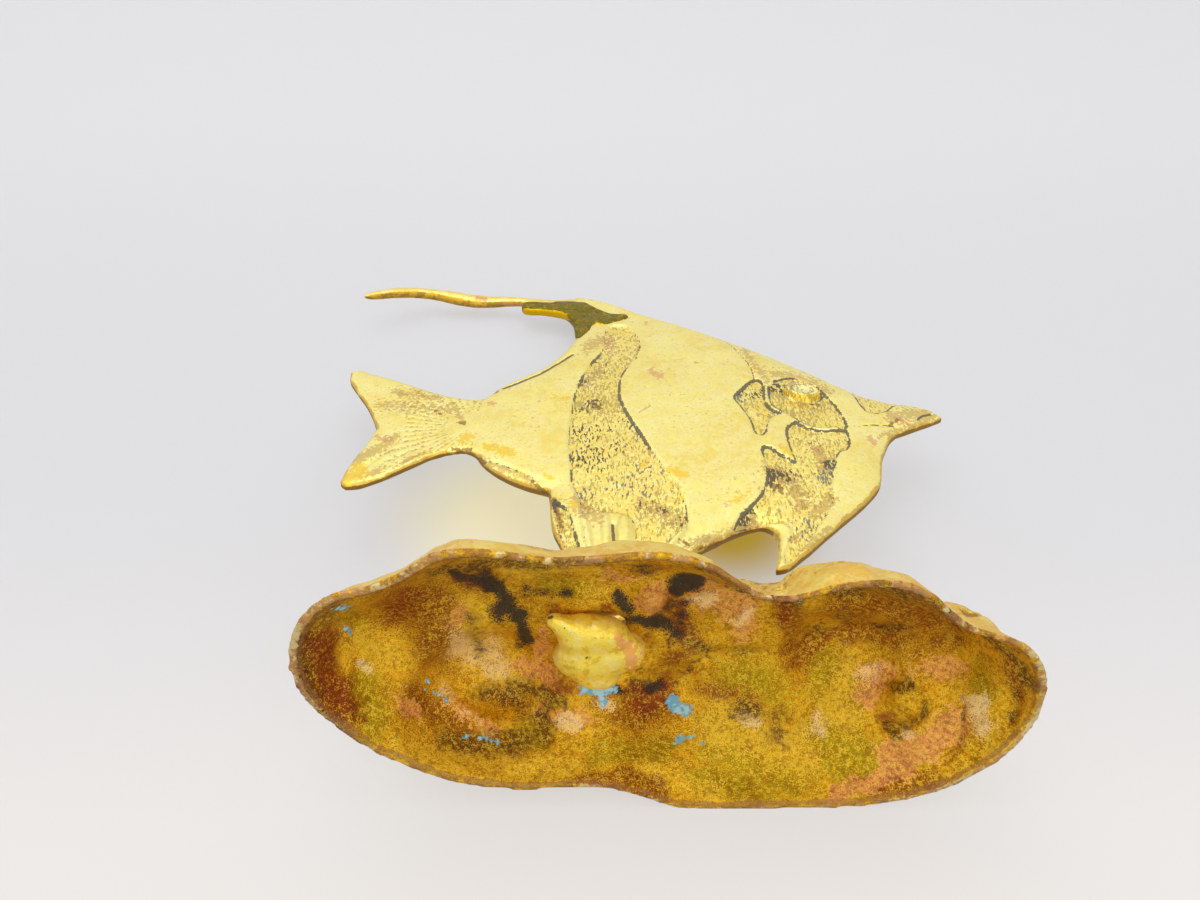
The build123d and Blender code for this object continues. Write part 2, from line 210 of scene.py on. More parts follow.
# Sunken markings on both faces, as closed loops in their views
BAND = (BODY_VIEW, [
    (386, 20), (383, 60), (378, 100), (360, 140), (330, 172), (305, 195), (275, 235), (245, 295),
    (225, 340), (205, 390), (195, 440), (190, 480), (178, 530), (172, 600), (172, 700), (178, 780),
    (182, 850), (186, 910), (200, 960), (215, 985), (240, 1040), (265, 1105), (310, 1098),
    (352, 1083), (380, 1100), (440, 1098), (500, 1106), (545, 1130), (562, 1180), (566, 1290),
    (570, 1420), (740, 1420), (775, 1300), (800, 1262), (840, 1225), (868, 1200), (885, 1180),
    (893, 1140), (893, 1100), (885, 1060), (870, 1020), (850, 980), (830, 930), (800, 880),
    (770, 845), (730, 790), (690, 735), (650, 680), (625, 640), (590, 590), (555, 540), (525, 490),
    (500, 440), (485, 400), (483, 340), (490, 290), (515, 240), (540, 210), (565, 170), (590, 130),
    (608, 95), (600, 50), (560, 0), (520, -30), (430, -30),
])
GILL_MARK = (HEAD_VIEW, [
    (84, 366), (108, 338), (150, 302), (188, 270), (226, 258), (262, 280), (276, 320), (276, 368),
    (292, 412), (322, 442), (360, 462), (390, 470), (346, 481), (318, 497), (304, 522), (296, 556),
    (280, 594), (255, 606), (228, 596), (206, 562), (196, 530), (176, 492), (146, 452), (120, 418),
    (92, 388),
])
EYE_FIELD = (HEAD_VIEW, [
    (300, 300), (298, 345), (310, 398), (338, 434), (380, 456), (430, 484), (470, 506), (500, 525),
    (540, 542), (600, 556), (660, 562), (722, 556), (768, 574), (786, 562), (780, 522), (757, 480),
    (722, 430), (682, 385), (642, 345), (612, 316), (560, 286), (500, 264), (440, 250), (392, 254),
    (340, 268),
])
CHEEK_FRONT = (HEAD_VIEW, [
    (472, 522), (440, 532), (414, 556), (408, 592), (418, 642), (440, 700), (458, 768), (430, 746),
    (390, 728), (345, 698), (310, 676), (276, 670), (258, 688), (270, 740), (284, 790), (288, 840),
    (288, 890), (268, 940), (243, 985), (208, 1022), (168, 1062), (128, 1102), (102, 1142),
    (84, 1196), (170, 1184), (250, 1168), (340, 1150), (400, 1152), (438, 1200), (420, 1270),
    (396, 1360), (412, 1400), (470, 1372), (540, 1290), (600, 1200), (644, 1130), (690, 1060),
    (708, 1000), (706, 950), (700, 900), (706, 860), (702, 830), (716, 800), (726, 760), (732, 725),
    (752, 706), (782, 700), (802, 680), (806, 640), (798, 600), (788, 580), (722, 570), (660, 576),
    (600, 570), (540, 557), (500, 540),
])
BROW = (HEAD_VIEW, [
    (764, 318), (800, 342), (840, 382), (870, 424), (900, 455), (940, 471), (985, 473), (1030, 460),
    (1065, 436), (1088, 424), (1120, 424), (1118, 400), (1000, 370), (900, 345), (820, 318),
])
ANAL_LOBE = (BODY_VIEW, [
    (84, 1018), (112, 1042), (150, 1066), (180, 1100), (200, 1160), (218, 1230), (226, 1320),
    (160, 1320), (128, 1262), (104, 1200), (90, 1140), (84, 1080),
])
# Each sunken marking with its depth as a share of RELIEF
SUNKEN = [
    (BAND, 1.0), (GILL_MARK, 1.2), (EYE_FIELD, 0.8), (CHEEK_FRONT, 1.0), (BROW, 0.8),
    (ANAL_LOBE, 0.8),
]
# Where the filled lines are darkest: place in its view, reach in mm, strength
LINE_PATCHES = [
    (BODY_VIEW, [
        (330, 172, 5, 0.8), (245, 295, 5, 0.9), (205, 400, 4, 0.7), (195, 470, 4, 0.5),
        (178, 600, 3, 0.4), (180, 760, 3, 0.7), (184, 870, 4, 0.6), (500, 245, 4, 1.2),
        (485, 340, 6, 1.1), (490, 420, 6, 1.0), (540, 515, 7, 1.2), (610, 620, 6, 1.2),
        (645, 672, 4, 1.1), (700, 750, 5, 0.45), (885, 1100, 5, 0.5), (600, 80, 5, 0.4),
        (120, 1048, 4, 1.0), (200, 1160, 5, 0.6), (222, 1260, 4, 0.9), (250, 1060, 4, 0.4),
    ]),
    (HEAD_VIEW, [
        (88, 370, 5, 1.2), (150, 305, 5, 1.0), (225, 262, 4, 0.9), (274, 340, 5, 1.2),
        (320, 440, 5, 1.1), (250, 600, 5, 1.0), (190, 520, 6, 0.9), (120, 420, 5, 1.0),
        (640, 345, 5, 0.9), (720, 430, 6, 0.8), (775, 530, 5, 0.8), (480, 515, 4, 1.0),
        (560, 545, 6, 0.9), (660, 560, 6, 0.7), (765, 574, 4, 1.0), (400, 262, 5, 0.8),
        (412, 580, 5, 1.1), (430, 670, 5, 0.8), (275, 675, 5, 1.3), (340, 700, 5, 1.1),
        (430, 745, 4, 0.8), (288, 860, 5, 1.2), (243, 985, 5, 0.8), (170, 1062, 5, 1.0),
        (110, 1130, 5, 0.6), (800, 660, 4, 0.8), (750, 706, 4, 0.8), (716, 800, 4, 0.6),
        (900, 455, 8, 1.0), (985, 473, 7, 0.9), (1080, 428, 4, 1.1), (840, 382, 5, 0.8),
        (1250, 492, 5, 1.2),
    ]),
    (TAIL_VIEW, [
        (1060, 515, 8, 0.9), (1180, 450, 7, 1.0), (930, 565, 6, 0.9), (900, 955, 9, 0.8),
        (690, 745, 4, 1.0),
    ]),
]
# Where dashes crowd in the markings, and where they are inked dark or slate blue
DASH_PATCHES = [
    (BODY_VIEW, [
        (340, 240, 8, 0.5), (330, 330, 8, 0.5), (320, 430, 8, 0.72), (420, 450, 8, 0.58),
        (300, 560, 7, 0.4), (240, 620, 8, 0.4), (300, 750, 8, 0.48), (460, 680, 9, 0.42),
        (640, 1020, 8, 0.42), (820, 1120, 8, 0.46), (560, 850, 10, 0.36),
    ]),
    (HEAD_VIEW, [
        (190, 380, 8, 0.5), (470, 450, 12, 0.58), (360, 330, 7, 0.8), (560, 405, 7, 0.7),
        (600, 640, 10, 0.4), (330, 850, 6, 0.75), (680, 860, 5, 0.6), (690, 770, 4, 0.8),
        (500, 900, 9, 0.4), (140, 1120, 5, 0.75), (560, 1200, 8, 0.4),
    ]),
]
INK_PATCHES = [
    (BODY_VIEW, [
        (300, 190, 3, 0.7), (250, 300, 3, 0.7), (320, 430, 3.5, 0.8), (230, 480, 4, 0.6),
        (240, 600, 5, 0.9), (300, 640, 4, 0.7), (290, 740, 6, 1.0), (320, 800, 5, 0.9),
        (480, 690, 5, 0.6), (390, 750, 3, 0.9), (190, 780, 3, 0.9), (640, 1030, 2.5, 0.8),
        (740, 1070, 2, 0.8), (868, 1140, 3, 0.7), (520, 560, 6, 0.6), (370, 590, 4, 0.9),
    ]),
    (HEAD_VIEW, [
        (360, 310, 4, 0.8), (590, 420, 3, 0.5), (330, 840, 3, 1.0), (312, 900, 3, 1.0),
        (690, 780, 3, 0.8), (140, 1120, 2.5, 0.8), (190, 1050, 3, 0.7), (600, 640, 3, 0.6),
        (190, 330, 5, 0.7), (430, 840, 4, 0.7),
    ]),
]
SLATE_PATCHES = [
    (BODY_VIEW, [
        (620, 640, 3, 1.0), (640, 830, 6, 0.8), (500, 930, 6, 0.8), (260, 980, 4, 0.7),
        (620, 960, 5, 0.6),
    ]),
    (HEAD_VIEW, [
        (680, 850, 5, 1.0), (90, 370, 4, 0.8), (560, 1180, 6, 0.7), (420, 600, 4, 0.6),
        (1260, 500, 4, 0.9),
    ]),
]
# Fine cut lines, each in its view
CREST = (HEAD_VIEW, [
    (30, 25), (70, 55), (110, 92), (148, 132), (176, 168), (194, 205), (205, 240), (212, 262),
])
BROW_LINE = (HEAD_VIEW, [(505, 212), (600, 254), (690, 292), (764, 322)])
MOUTH = (HEAD_VIEW, [(892, 546), (960, 545), (1020, 548), (1080, 551)])
SNOUT_GROOVE = (HEAD_VIEW, [(1226, 508), (1246, 492), (1286, 480), (1306, 478)])
REAR_GROOVE = (TAIL_VIEW, [
    (900, 577), (960, 556), (1020, 530), (1090, 500), (1150, 465), (1200, 435), (1235, 412),
])
UNDER_GROOVE = (TAIL_VIEW, [(800, 925), (870, 945), (930, 965), (1000, 995), (1070, 1030)])
SLOT = (BODY_VIEW, [(437, 1170), (441, 1230), (448, 1300)])
TAIL_GROOVE = (TAIL_VIEW, [(380, 830), (330, 870), (270, 925), (215, 965), (195, 1000)])
FAN_EDGE = (TAIL_VIEW, [
    (330, 575), (375, 645), (398, 705), (406, 760), (398, 800), (380, 830), (330, 870), (270, 925),
    (215, 965),
])
# Each line with its depth and width in mm, and its darkness
CUT_LINES = [
    (CREST, 0.25, 0.5, 0.8), (BROW_LINE, 0.2, 0.4, 0.7), (MOUTH, 0.3, 0.4, 0.85),
    (FAN_EDGE, 0.15, 0.8, 0.0), (REAR_GROOVE, 0.6, 0.8, 1.5), (UNDER_GROOVE, 0.4, 0.6, 0.8),
    (SLOT, 0.7, 0.6, 1.2), (SNOUT_GROOVE, 0.4, 0.7, 1.2), (TAIL_GROOVE, 0.3, 0.5, 0.5),
]
# The tail's fan: its root, where its rays start, its inner end, and its rays
FAN_ROOT = (TAIL_VIEW, [(745, 765)])
FAN_START = (4.0, 9.0)
FAN_END = [(-46.0, 85.0), (-46.0, 140.0)]
FAN_BORDER = (-0.2, 1.6)
FAN_TURNS = 34 / 0.75
FAN_DEPTH = 0.16

# The eye, a raised button with a shallow dish
EYE_SPOT = (HEAD_VIEW, [(505, 350)])
EYE_TURN = np.array([[0.955, 0.296], [-0.296, 0.955]])
EYE_STRETCH = np.array([1.1, 0.84])
EYE_REACH = 5.6
EYE_SLOPE = 0.9
EYE_RISE = 2.4
DISH_REACH = 3.2
DISH_DEPTH = 0.5
EYE_RIM_OUT = 0.3
EYE_WALL = (0.6, 0.7)
EYE_TOP = (0.75, 1.0)
RING_WIDTH = 0.45
PUPIL_REACH = 0.8

# Sea grass that fans over the foot, in BODY_VIEW: root, tip, half width and rise in mm
BLADES = [
    ((300, 1310), (262, 1130), 1.2, 0.6), ((400, 1310), (398, 1128), 1.4, 0.6),
    ((503, 1310), (506, 1136), 2.1, 0.7), ((775, 1305), (872, 1205), 1.1, 0.9),
    ((905, 1330), (1005, 1252), 0.9, 0.8),
]
# A blade's width: at its root, its swell, and how early that comes
BLADE_TAPER = (0.65, 0.45, 0.8)
BLADE_SIDE = 0.45

# The base
ROCK_VOXEL = 0.66
RIM_HEIGHT = 1.0
FOOT_HOLE = (-9.95, 0.0, 6.8, 3.0, 19.0)
# Smoothing rounds of the hollow above a height in mm, above the flat rim, and round the rim
HOLLOW_FLOOR = 5.0
HOLLOW_ROUNDS = 90
FLAT_RIM = 0.3
WALL_ROUNDS = 8
RIM_BAND = 2.0
RIM_ROUNDS = 6
# Height in mm over which the walls turn craggy, and over which they turn to their full depth
CRAG_START = (0.3, 2.5)
CRAG_HEIGHT = (5.0, 14.0)
CRAG_LEAST = 0.12
CRAG_SINK = 0.5
PIT_DEPTH = 0.9
PIT_SPAN = (0.35, 0.75)
PIT_PAINT = (0.5, 0.5, 0.25)
PIT_LEAST = 0.35
HOLLOW_LIMIT = -1.3
FORM_WIDTH = 0.8

# The streamer: size of its skin's faces, half thickness and highest point
STREAMER_VOXEL = 0.45
STREAMER_HALF = 1.5
STREAMER_TOP = 207.9
STREAMER_ROUNDS = 3
# Its free end is smoothed more and swelled, its root runs into the crest and its middle lifts
BEND_START = -70.0
BEND_ROUNDS = 8
SWELL = 0.15
END_SWELL = 0.4
END_SPANS = ((-52.0, -66.0), (-99.0, -93.0))
CREST_PULL = 1.6
CREST_SPAN = (-32.0, -20.5)
MIDDLE_LIFT = 0.6
MIDDLE_SPAN = (-62.0, -48.0)
# Where its underside turns to painted shade
STREAMER_SHADE_UNDER = (-0.35, -0.8)

# Braze over the streamer's joint, as a closed loop on the fish, with its rise in mm
OLIVE_PATCH = [
    (-38.6, 198.9), (-32.0, 200.0), (-25.0, 200.2), (-19.8, 199.9), (-15.1, 199.2), (-12.0, 195.6),
    (-7.4, 190.9), (-3.6, 189.0), (0.4, 188.6), (1.2, 185.4), (-4.5, 180.6), (-7.5, 178.6),
    (-11.2, 179.9), (-13.0, 174.4), (-14.8, 171.0), (-16.9, 168.0), (-18.6, 174.6), (-19.0, 179.7),
    (-20.2, 184.8), (-23.0, 189.2), (-30.3, 192.2), (-38.6, 194.2),
]
OLIVE_RISE = 0.55
OLIVE_ROUND = 2.2
OLIVE_SINK = 0.12
OLIVE_SPACING = 0.6
OLIVE_VOXEL = 0.5
OLIVE_ROUNDS = 2
# Where it leaves the casting for the streamer, and where it thins, along in mm
OLIVE_OVERHANG = (-12.0, -20.0)
OLIVE_THIN = (-30.0, -19.0)
OLIVE_LEAST = 0.35
# Where its underside takes a painted highlight
OLIVE_HIGHLIGHT_UNDER = (-0.3, -0.7)

# Strokes of colour inside the base: reach and fade in pixels of the photograph, then its pixels
LEAF_STROKES = [
    (22, 20, 360, 690, 372, 722), (26, 18, 826, 664, 838, 690), (30, 22, 834, 745, 860, 770),
    (24, 24, 740, 675, 770, 690), (30, 26, 720, 740, 790, 770), (14, 12, 980, 670, 984, 690),
    (12, 14, 545, 580, 585, 590), (16, 18, 600, 757, 660, 745), (16, 14, 700, 780, 760, 790),
    (10, 10, 350, 612, 362, 640), (12, 12, 530, 722, 538, 740),
]
# The first and sixth pale the hump left of the braze where it faces the light: painted highlight
GOLD_STROKES = [
    (20, 14, 455, 640, 480, 660, 510, 668), (10, 10, 470, 600, 480, 620),
    (16, 18, 700, 730, 790, 745), (18, 16, 358, 640, 386, 652),
    (16, 16, 405, 748, 480, 768, 570, 772), (30, 16, 465, 640, 500, 668),
    (8, 10, 545, 566, 600, 572), (7, 8, 505, 570, 530, 572), (12, 12, 690, 640, 700, 655),
    (16, 16, 713, 700, 730, 716), (8, 8, 992, 752, 1035, 730), (14, 14, 830, 700, 845, 720),
    (12, 12, 590, 600, 600, 592), (12, 14, 845, 650, 850, 680), (8, 10, 640, 770, 720, 800),
    (20, 20, 760, 745, 800, 760), (12, 12, 538, 700, 560, 700),
]
# The groove stroke and the last lie in dents, their brown partly painted shade over rust patina
RUST_STROKES = [
    (19, 9, 316, 640, 324, 690, 342, 716), (24, 20, 396, 606, 430, 600, 440, 640),
    (22, 14, 655, 705, 640, 714),
    (9, 9, 800, 664, 810, 643, 838, 631, 890, 634, 920, 648, 955, 640),
    (10, 10, 790, 604, 788, 645), (17, 5, 578, 792, 625, 782, 650, 790),
    (20, 16, 416, 700, 460, 725), (18, 14, 845, 606, 900, 604, 960, 622),
    (8, 14, 700, 690, 760, 700), (14, 12, 455, 572, 480, 580), (14, 12, 672, 600, 690, 640),
    (12, 8, 860, 786, 930, 778), (9, 9, 1008, 660, 1020, 700), (10, 14, 600, 700, 620, 716),
    (10, 12, 490, 694, 525, 702),
]
# Dark umber painted shade in the hollow's creases and dents, and on its walls that face away from
# the light
UMBER_SHADE_STROKES = [
    (9, 8, 310, 625, 304, 660, 310, 700, 330, 735), (7, 10, 645, 712, 668, 704),
    (12, 14, 440, 738, 490, 748, 520, 740), (6, 12, 470, 620, 480, 650),
    (9, 9, 480, 693, 530, 688, 556, 700), (7, 8, 560, 700, 540, 716),
    (9, 6, 302, 640, 300, 670, 320, 712, 350, 738), (7, 5, 335, 607, 310, 626),
    (6, 6, 430, 572, 470, 566, 520, 562, 600, 561), (8, 9, 492, 695, 520, 701),
    (9, 8, 632, 686, 660, 690), (4, 5, 675, 684, 708, 656, 767, 652), (4, 6, 690, 642, 716, 658),
    (5, 5, 700, 566, 740, 588, 800, 602), (7, 6, 830, 592, 880, 586, 930, 600, 975, 628),
    (2, 3, 869, 627, 890, 633, 911, 631), (3, 3, 884, 727, 905, 726, 923, 716, 926, 702),
    (1.5, 2.5, 964, 706, 959, 746, 946, 761), (3, 4, 1017, 694, 1012, 720),
    (8, 12, 739, 705, 760, 708), (8, 8, 541, 716, 547, 738), (9, 12, 777, 712, 780, 735),
    (6, 5, 898, 690, 908, 686), (5, 5, 985, 636, 1020, 660, 1034, 690), (4, 4, 898, 737, 888, 728),
    (4, 6, 815, 626, 850, 614),
]
RED_STROKES = [
    (14, 10, 318, 646, 330, 680, 336, 700), (5, 4, 606, 606, 618, 622), (8, 6, 556, 684, 570, 688),
    (12, 10, 640, 706, 665, 700), (4, 4, 648, 636, 654, 642), (10, 12, 392, 608, 408, 594),
    (5, 6, 612, 684, 640, 690), (5, 5, 880, 718, 892, 716), (5, 6, 780, 606, 786, 616),
    (5, 6, 934, 640, 952, 634), (4, 5, 556, 608, 546, 606), (8, 8, 672, 660, 664, 684),
]
SALMON_STROKES = [
    (9, 7, 522, 664, 552, 678), (6, 6, 543, 634, 540, 650), (8, 8, 450, 704, 474, 719, 490, 727),
    (15, 14, 700, 592, 742, 604, 744, 624), (20, 9, 895, 758, 930, 745, 955, 725),
    (9, 9, 925, 670, 960, 668), (14, 10, 876, 672, 870, 695), (9, 9, 402, 700, 420, 715),
    (11, 6, 655, 590, 648, 602), (7, 4, 627, 650, 632, 662), (7, 7, 456, 622, 462, 612),
    (10, 6, 835, 795, 880, 780), (8, 10, 542, 712, 590, 722), (6, 7, 605, 575, 640, 578),
]
# The first two pale the same hump left of the braze: painted highlight
BLUSH_STROKES = [
    (14, 16, 462, 645, 490, 652), (10, 14, 470, 660, 500, 672), (6, 10, 440, 690, 448, 700),
    (8, 8, 562, 720, 576, 726), (7, 8, 872, 664, 866, 682), (12, 8, 978, 704, 985, 726),
    (7, 8, 818, 724, 822, 730), (4, 6, 905, 733, 925, 728), (5, 6, 600, 704, 612, 708),
    (3, 5, 462, 712, 480, 720), (6, 8, 740, 620, 748, 612), (5, 6, 746, 718, 756, 722),
    (5, 8, 690, 598, 712, 596), (4, 6, 358, 662, 366, 668),
]
BLACK_STROKES = [
    (8, 6, 484, 577, 498, 585), (7, 5, 498, 585, 506, 600, 497, 615),
    (8, 5, 507, 606, 520, 617, 525, 636), (3, 7, 527, 588, 545, 594), (3, 6, 553, 595, 566, 593),
    (6, 5, 616, 595, 630, 614, 648, 622), (9, 6, 655, 622, 676, 632), (10, 4, 678, 586, 694, 582),
    (3, 7, 632, 571, 658, 573), (3, 7, 660, 684, 650, 690), (2, 8, 668, 606, 690, 600),
    (2, 9, 455, 574, 476, 577), (3, 5, 520, 646, 526, 642), (3, 5, 606, 686, 622, 690),
    (4, 7, 684, 612, 668, 640),
]
VERDIGRIS_STROKES = [
    (5.5, 3, 585, 688, 602, 691, 611, 687), (3, 3, 601, 698, 604, 703), (7, 3, 672, 703, 686, 710),
    (4, 3, 680, 738, 692, 737), (1.6, 1.5, 702, 742, 704, 744), (2.2, 1.4, 424, 681, 427, 682),
    (2.2, 1.4, 424, 689, 427, 690), (2.2, 1.4, 433, 693, 438, 695), (2.0, 1.4, 444, 697, 445, 702),
    (1.8, 2, 464, 737, 468, 736), (0.5, 3, 478, 737, 500, 745), (2.0, 2.5, 331, 609, 349, 607),
    (2.5, 2.5, 344, 627, 347, 630), (1.6, 1.2, 612, 627, 614, 629), (1.2, 1.6, 799, 601, 802, 602),
    (1.5, 3, 690, 724, 694, 730),
]
# Forms inside the base: reach in pixels, rise in mm towards the hollow, then their pixels
HOLLOW_FORMS = [
    (46, 3.0, 841, 668), (30, 1.4, 364, 643), (18, 1.8, 652, 598),
    (13, 0.9, 447, 703, 474, 718, 492, 727), (17, -1.3, 496, 695, 520, 700),
    (8, -0.8, 708, 656, 767, 652), (9, -0.8, 675, 684, 708, 656),
    (12, -1.2, 800, 664, 810, 643, 838, 631, 890, 634, 920, 648, 955, 640),
    (20, 2.4, 903, 696, 918, 702), (6, -1.5, 884, 727, 905, 726, 923, 716, 926, 702),
    (5, -0.9, 964, 706, 959, 746, 946, 761), (13, -0.8, 541, 716, 545, 740),
    (7, -0.9, 1017, 694, 1012, 720), (5, -0.8, 869, 627, 911, 631), (3, -1.2, 550, 738),
    (16, -0.6, 739, 706), (18, -0.7, 782, 715), (22, 1.3, 749, 719), (24, 1.3, 818, 722),
    (22, 1.2, 735, 675, 760, 680), (34, 1.6, 925, 745), (26, 1.2, 985, 715), (20, 0.7, 560, 712),
    (30, 0.5, 412, 640), (12, -0.6, 860, 610, 930, 615), (24, 0.6, 700, 605),
    (7, 0.5, 344, 620, 350, 730), (20, -0.8, 660, 708),
]
# Braze in the hollow: photograph pixel, height, and half sizes along, across and up, in mm
LUMPS = [
    ((592, 656), 19.8, 9.6, 7.4, 5.2), ((585, 634), 19.2, 7.0, 5.6, 4.4),
    ((567, 626), 18.6, 3.8, 2.9, 3.0), ((554, 620), 18.4, 2.4, 2.0, 2.2),
    ((627, 652), 19.4, 4.6, 5.8, 3.8), ((606, 634), 19.0, 5.6, 4.6, 4.0),
    ((597, 674), 19.6, 6.0, 3.6, 4.4),
]
LUMP_VOXEL = 0.5
LUMP_ROUNDS = 20
# How far the rock's edge moves from the plain casting, in mm: along, across at the rim, on the wall
BACK_MOVES = [
    (-80.0, -0.8, -1.2), (-66.0, -1.0, -1.0), (-58.0, 0.2, 0.2), (-50.0, 0.2, 0.0),
    (-44.0, -0.2, -1.2), (-36.0, 0.2, 0.0), (-26.0, 0.6, 1.2), (-18.0, 0.8, 2.2), (-12.0, 0.4, 1.2),
    (-6.0, 0.0, 0.3), (4.0, -1.2, 0.0), (9.0, -1.8, 0.0), (14.7, -1.6, 0.4), (19.0, -0.3, 2.0),
    (23.3, 1.1, 3.6), (27.0, 1.5, 5.2), (30.5, 1.7, 5.4), (34.0, 1.6, 2.4), (38.0, 1.1, 0.4),
    (46.0, 1.0, 0.0), (49.0, 1.0, 0.8), (54.0, 0.6, -0.6), (60.0, 0.0, -1.2), (65.0, 0.8, 2.0),
    (70.0, 1.4, 3.4), (76.0, 1.2, 1.8), (82.0, 0.4, 0.4),
]
FRONT_MOVES = [
    (-80.0, 1.8, 1.0), (-70.0, 2.2, 1.0), (-60.0, 1.6, 0.6), (-50.0, -0.3, 0.0), (-30.0, 0.3, 0.0),
    (-10.0, 0.1, 0.0), (0.0, 1.3, 0.0), (7.0, 2.0, 0.0), (14.0, 0.8, 0.0), (24.0, 0.1, 0.0),
    (60.0, 0.4, 0.0), (72.0, 1.2, 0.4), (80.0, 1.6, 0.6),
]
LEFT_MOVE = 1.0
LEFT_SPAN = (-66.0, -82.0)
SIDE_SPAN = (9.0, 22.0)
WALL_SPAN = (0.8, 8.0)
FRONT_LIMIT = 39.7
# The lip between the hollow and the outer wall: where its inner half lifts, and its paint
LIP_LIFT = 0.7
LIP_INNER = (0.45, 0.0)
LIP_LOW = (0.9, 0.2)
LIP_SHARES = (0.3, 0.6)
RIM_PAINT = (1.6, 0.5)
# Stains on the shown face of the fish, as strokes
FISH_STAINS = [
    (3.6, 4, 652, 371, 660, 376), (3.2, 3, 870, 438, 875, 444), (1.6, 1.5, 696, 362),
    (1.2, 1.5, 670, 394), (1.6, 1.5, 539, 401), (1.6, 1.5, 646, 323), (2.0, 3, 898, 419, 908, 424),
    (2.0, 4, 726, 505), (1.6, 2.0, 812, 448, 818, 452), (1.5, 2, 489, 403, 495, 404),
    (3.0, 6, 608, 344, 612, 352), (2.5, 4, 378, 438, 392, 440), (2.0, 3, 343, 380, 352, 392),
    (0.8, 1.5, 640, 412, 650, 406),
]
FISH_TAN = [
    (4, 6, 586, 348, 600, 340, 612, 340), (4, 6, 600, 372, 582, 384),
    (3, 5, 745, 352, 758, 368, 768, 380), (3, 5, 772, 372, 800, 378, 830, 392),
    (6, 6, 890, 419, 905, 414, 928, 416), (2.5, 3, 880, 436, 905, 428, 936, 416),
    (3, 4, 345, 385, 372, 425), (4, 4, 352, 462, 385, 446, 396, 436), (3, 6, 395, 392, 440, 398),
    (3, 8, 380, 405, 450, 410), (2, 4, 360, 478, 400, 462, 430, 452), (2.5, 4, 452, 405, 462, 420),
    (3, 4, 480, 459, 505, 470, 532, 482), (5, 5, 555, 500, 562, 530), (8, 8, 575, 505, 595, 515),
    (5, 6, 690, 545, 725, 535, 755, 525), (2.5, 3, 800, 552, 830, 528), (2, 3, 790, 540, 806, 530),
    (7, 8, 770, 470, 790, 480, 800, 500), (6, 6, 830, 500, 815, 515), (6, 6, 818, 450, 826, 470),
    (6, 8, 640, 505, 680, 520),
]
FISH_UMBER = [
    (1.8, 2.2, 700, 549, 728, 540, 752, 530), (2.0, 2.2, 551, 497, 556, 508, 562, 526),
    (1.8, 1.6, 478, 459, 486, 463), (2.2, 2.0, 532, 482, 548, 494), (1.6, 1.6, 452, 449, 470, 450),
    (1.2, 1.4, 436, 411, 440, 414), (2.0, 2.0, 460, 422, 464, 424), (0.8, 1.2, 607, 362, 604, 372),
    (0.8, 1.2, 636, 358, 640, 345), (2.0, 2.0, 592, 404, 600, 408), (1.4, 1.2, 492, 393, 497, 391),
    (1.5, 2.5, 680, 540, 690, 546), (3.0, 2.5, 774, 486, 782, 490), (1.4, 1.8, 890, 425, 898, 420),
]
FISH_AMBER = [
    (2.6, 5, 668, 469, 686, 475), (2.0, 5, 676, 482, 682, 498), (3.5, 4, 462, 438, 472, 436),
    (4.0, 5, 486, 446, 512, 454), (2.5, 3, 570, 502, 575, 505), (2.0, 5, 552, 396, 566, 399),
    (2.0, 3, 545, 475, 552, 478), (2.0, 4, 640, 466, 648, 462), (7.0, 7, 346, 480, 362, 470),
    (3.0, 5, 780, 446, 790, 452), (2.0, 6, 735, 500, 750, 492), (1.0, 4, 395, 480, 440, 462),
]
STREAMER_STAINS = [
    (2.0, 2.5, 477, 298, 486, 299), (1.6, 2.0, 505, 304, 518, 305), (0.8, 1.5, 468, 307, 500, 308),
]
LUMP_SALMON = [(8, 5, 628, 648, 633, 662), (4, 4, 618, 640, 622, 644)]
# Dark marks where the braze glints: a painted reflection
LUMP_GLINT_MARKS = [
    (1.2, 0.8, 564, 628), (1.5, 0.8, 587, 658), (0.8, 0.8, 583, 649),
    (1.5, 1.0, 549, 618, 552, 617),
]
HOLLOW_COLOURS = {
    "leaf": LEAF_STROKES, "gold": GOLD_STROKES, "rust": RUST_STROKES, "salmon": SALMON_STROKES,
    "blush": BLUSH_STROKES, "umber": UMBER_SHADE_STROKES, "red": RED_STROKES, "black": BLACK_STROKES,
    "verdigris": VERDIGRIS_STROKES,
}

# Grains of each metal by name, with their size in mm and detail
FISH_GRAINS = {"broad": (16.0, 3.0), "cloud": (5.0, 3.0), "fine": (1.1, 3.0), "dust": (0.5, 3.0)}
ROCK_GRAINS = {"wide": (13.0, 3.0), "mid": (4.0, 3.0), "fine": (1.1, 3.0), "dust": (0.36, 4.0)}
STREAMER_GRAINS = {"cloud": (4.0, 3.0), "fine": (1.1, 3.0), "dust": (0.5, 3.0)}
OLIVE_GRAINS = {"cloud": (3.0, 3.0), "fine": (1.2, 3.0), "dust": (0.5, 3.0)}
LUMP_GRAINS = {"cloud": (3.5, 3.0), "fine": (1.2, 3.0), "dust": (0.5, 3.0)}

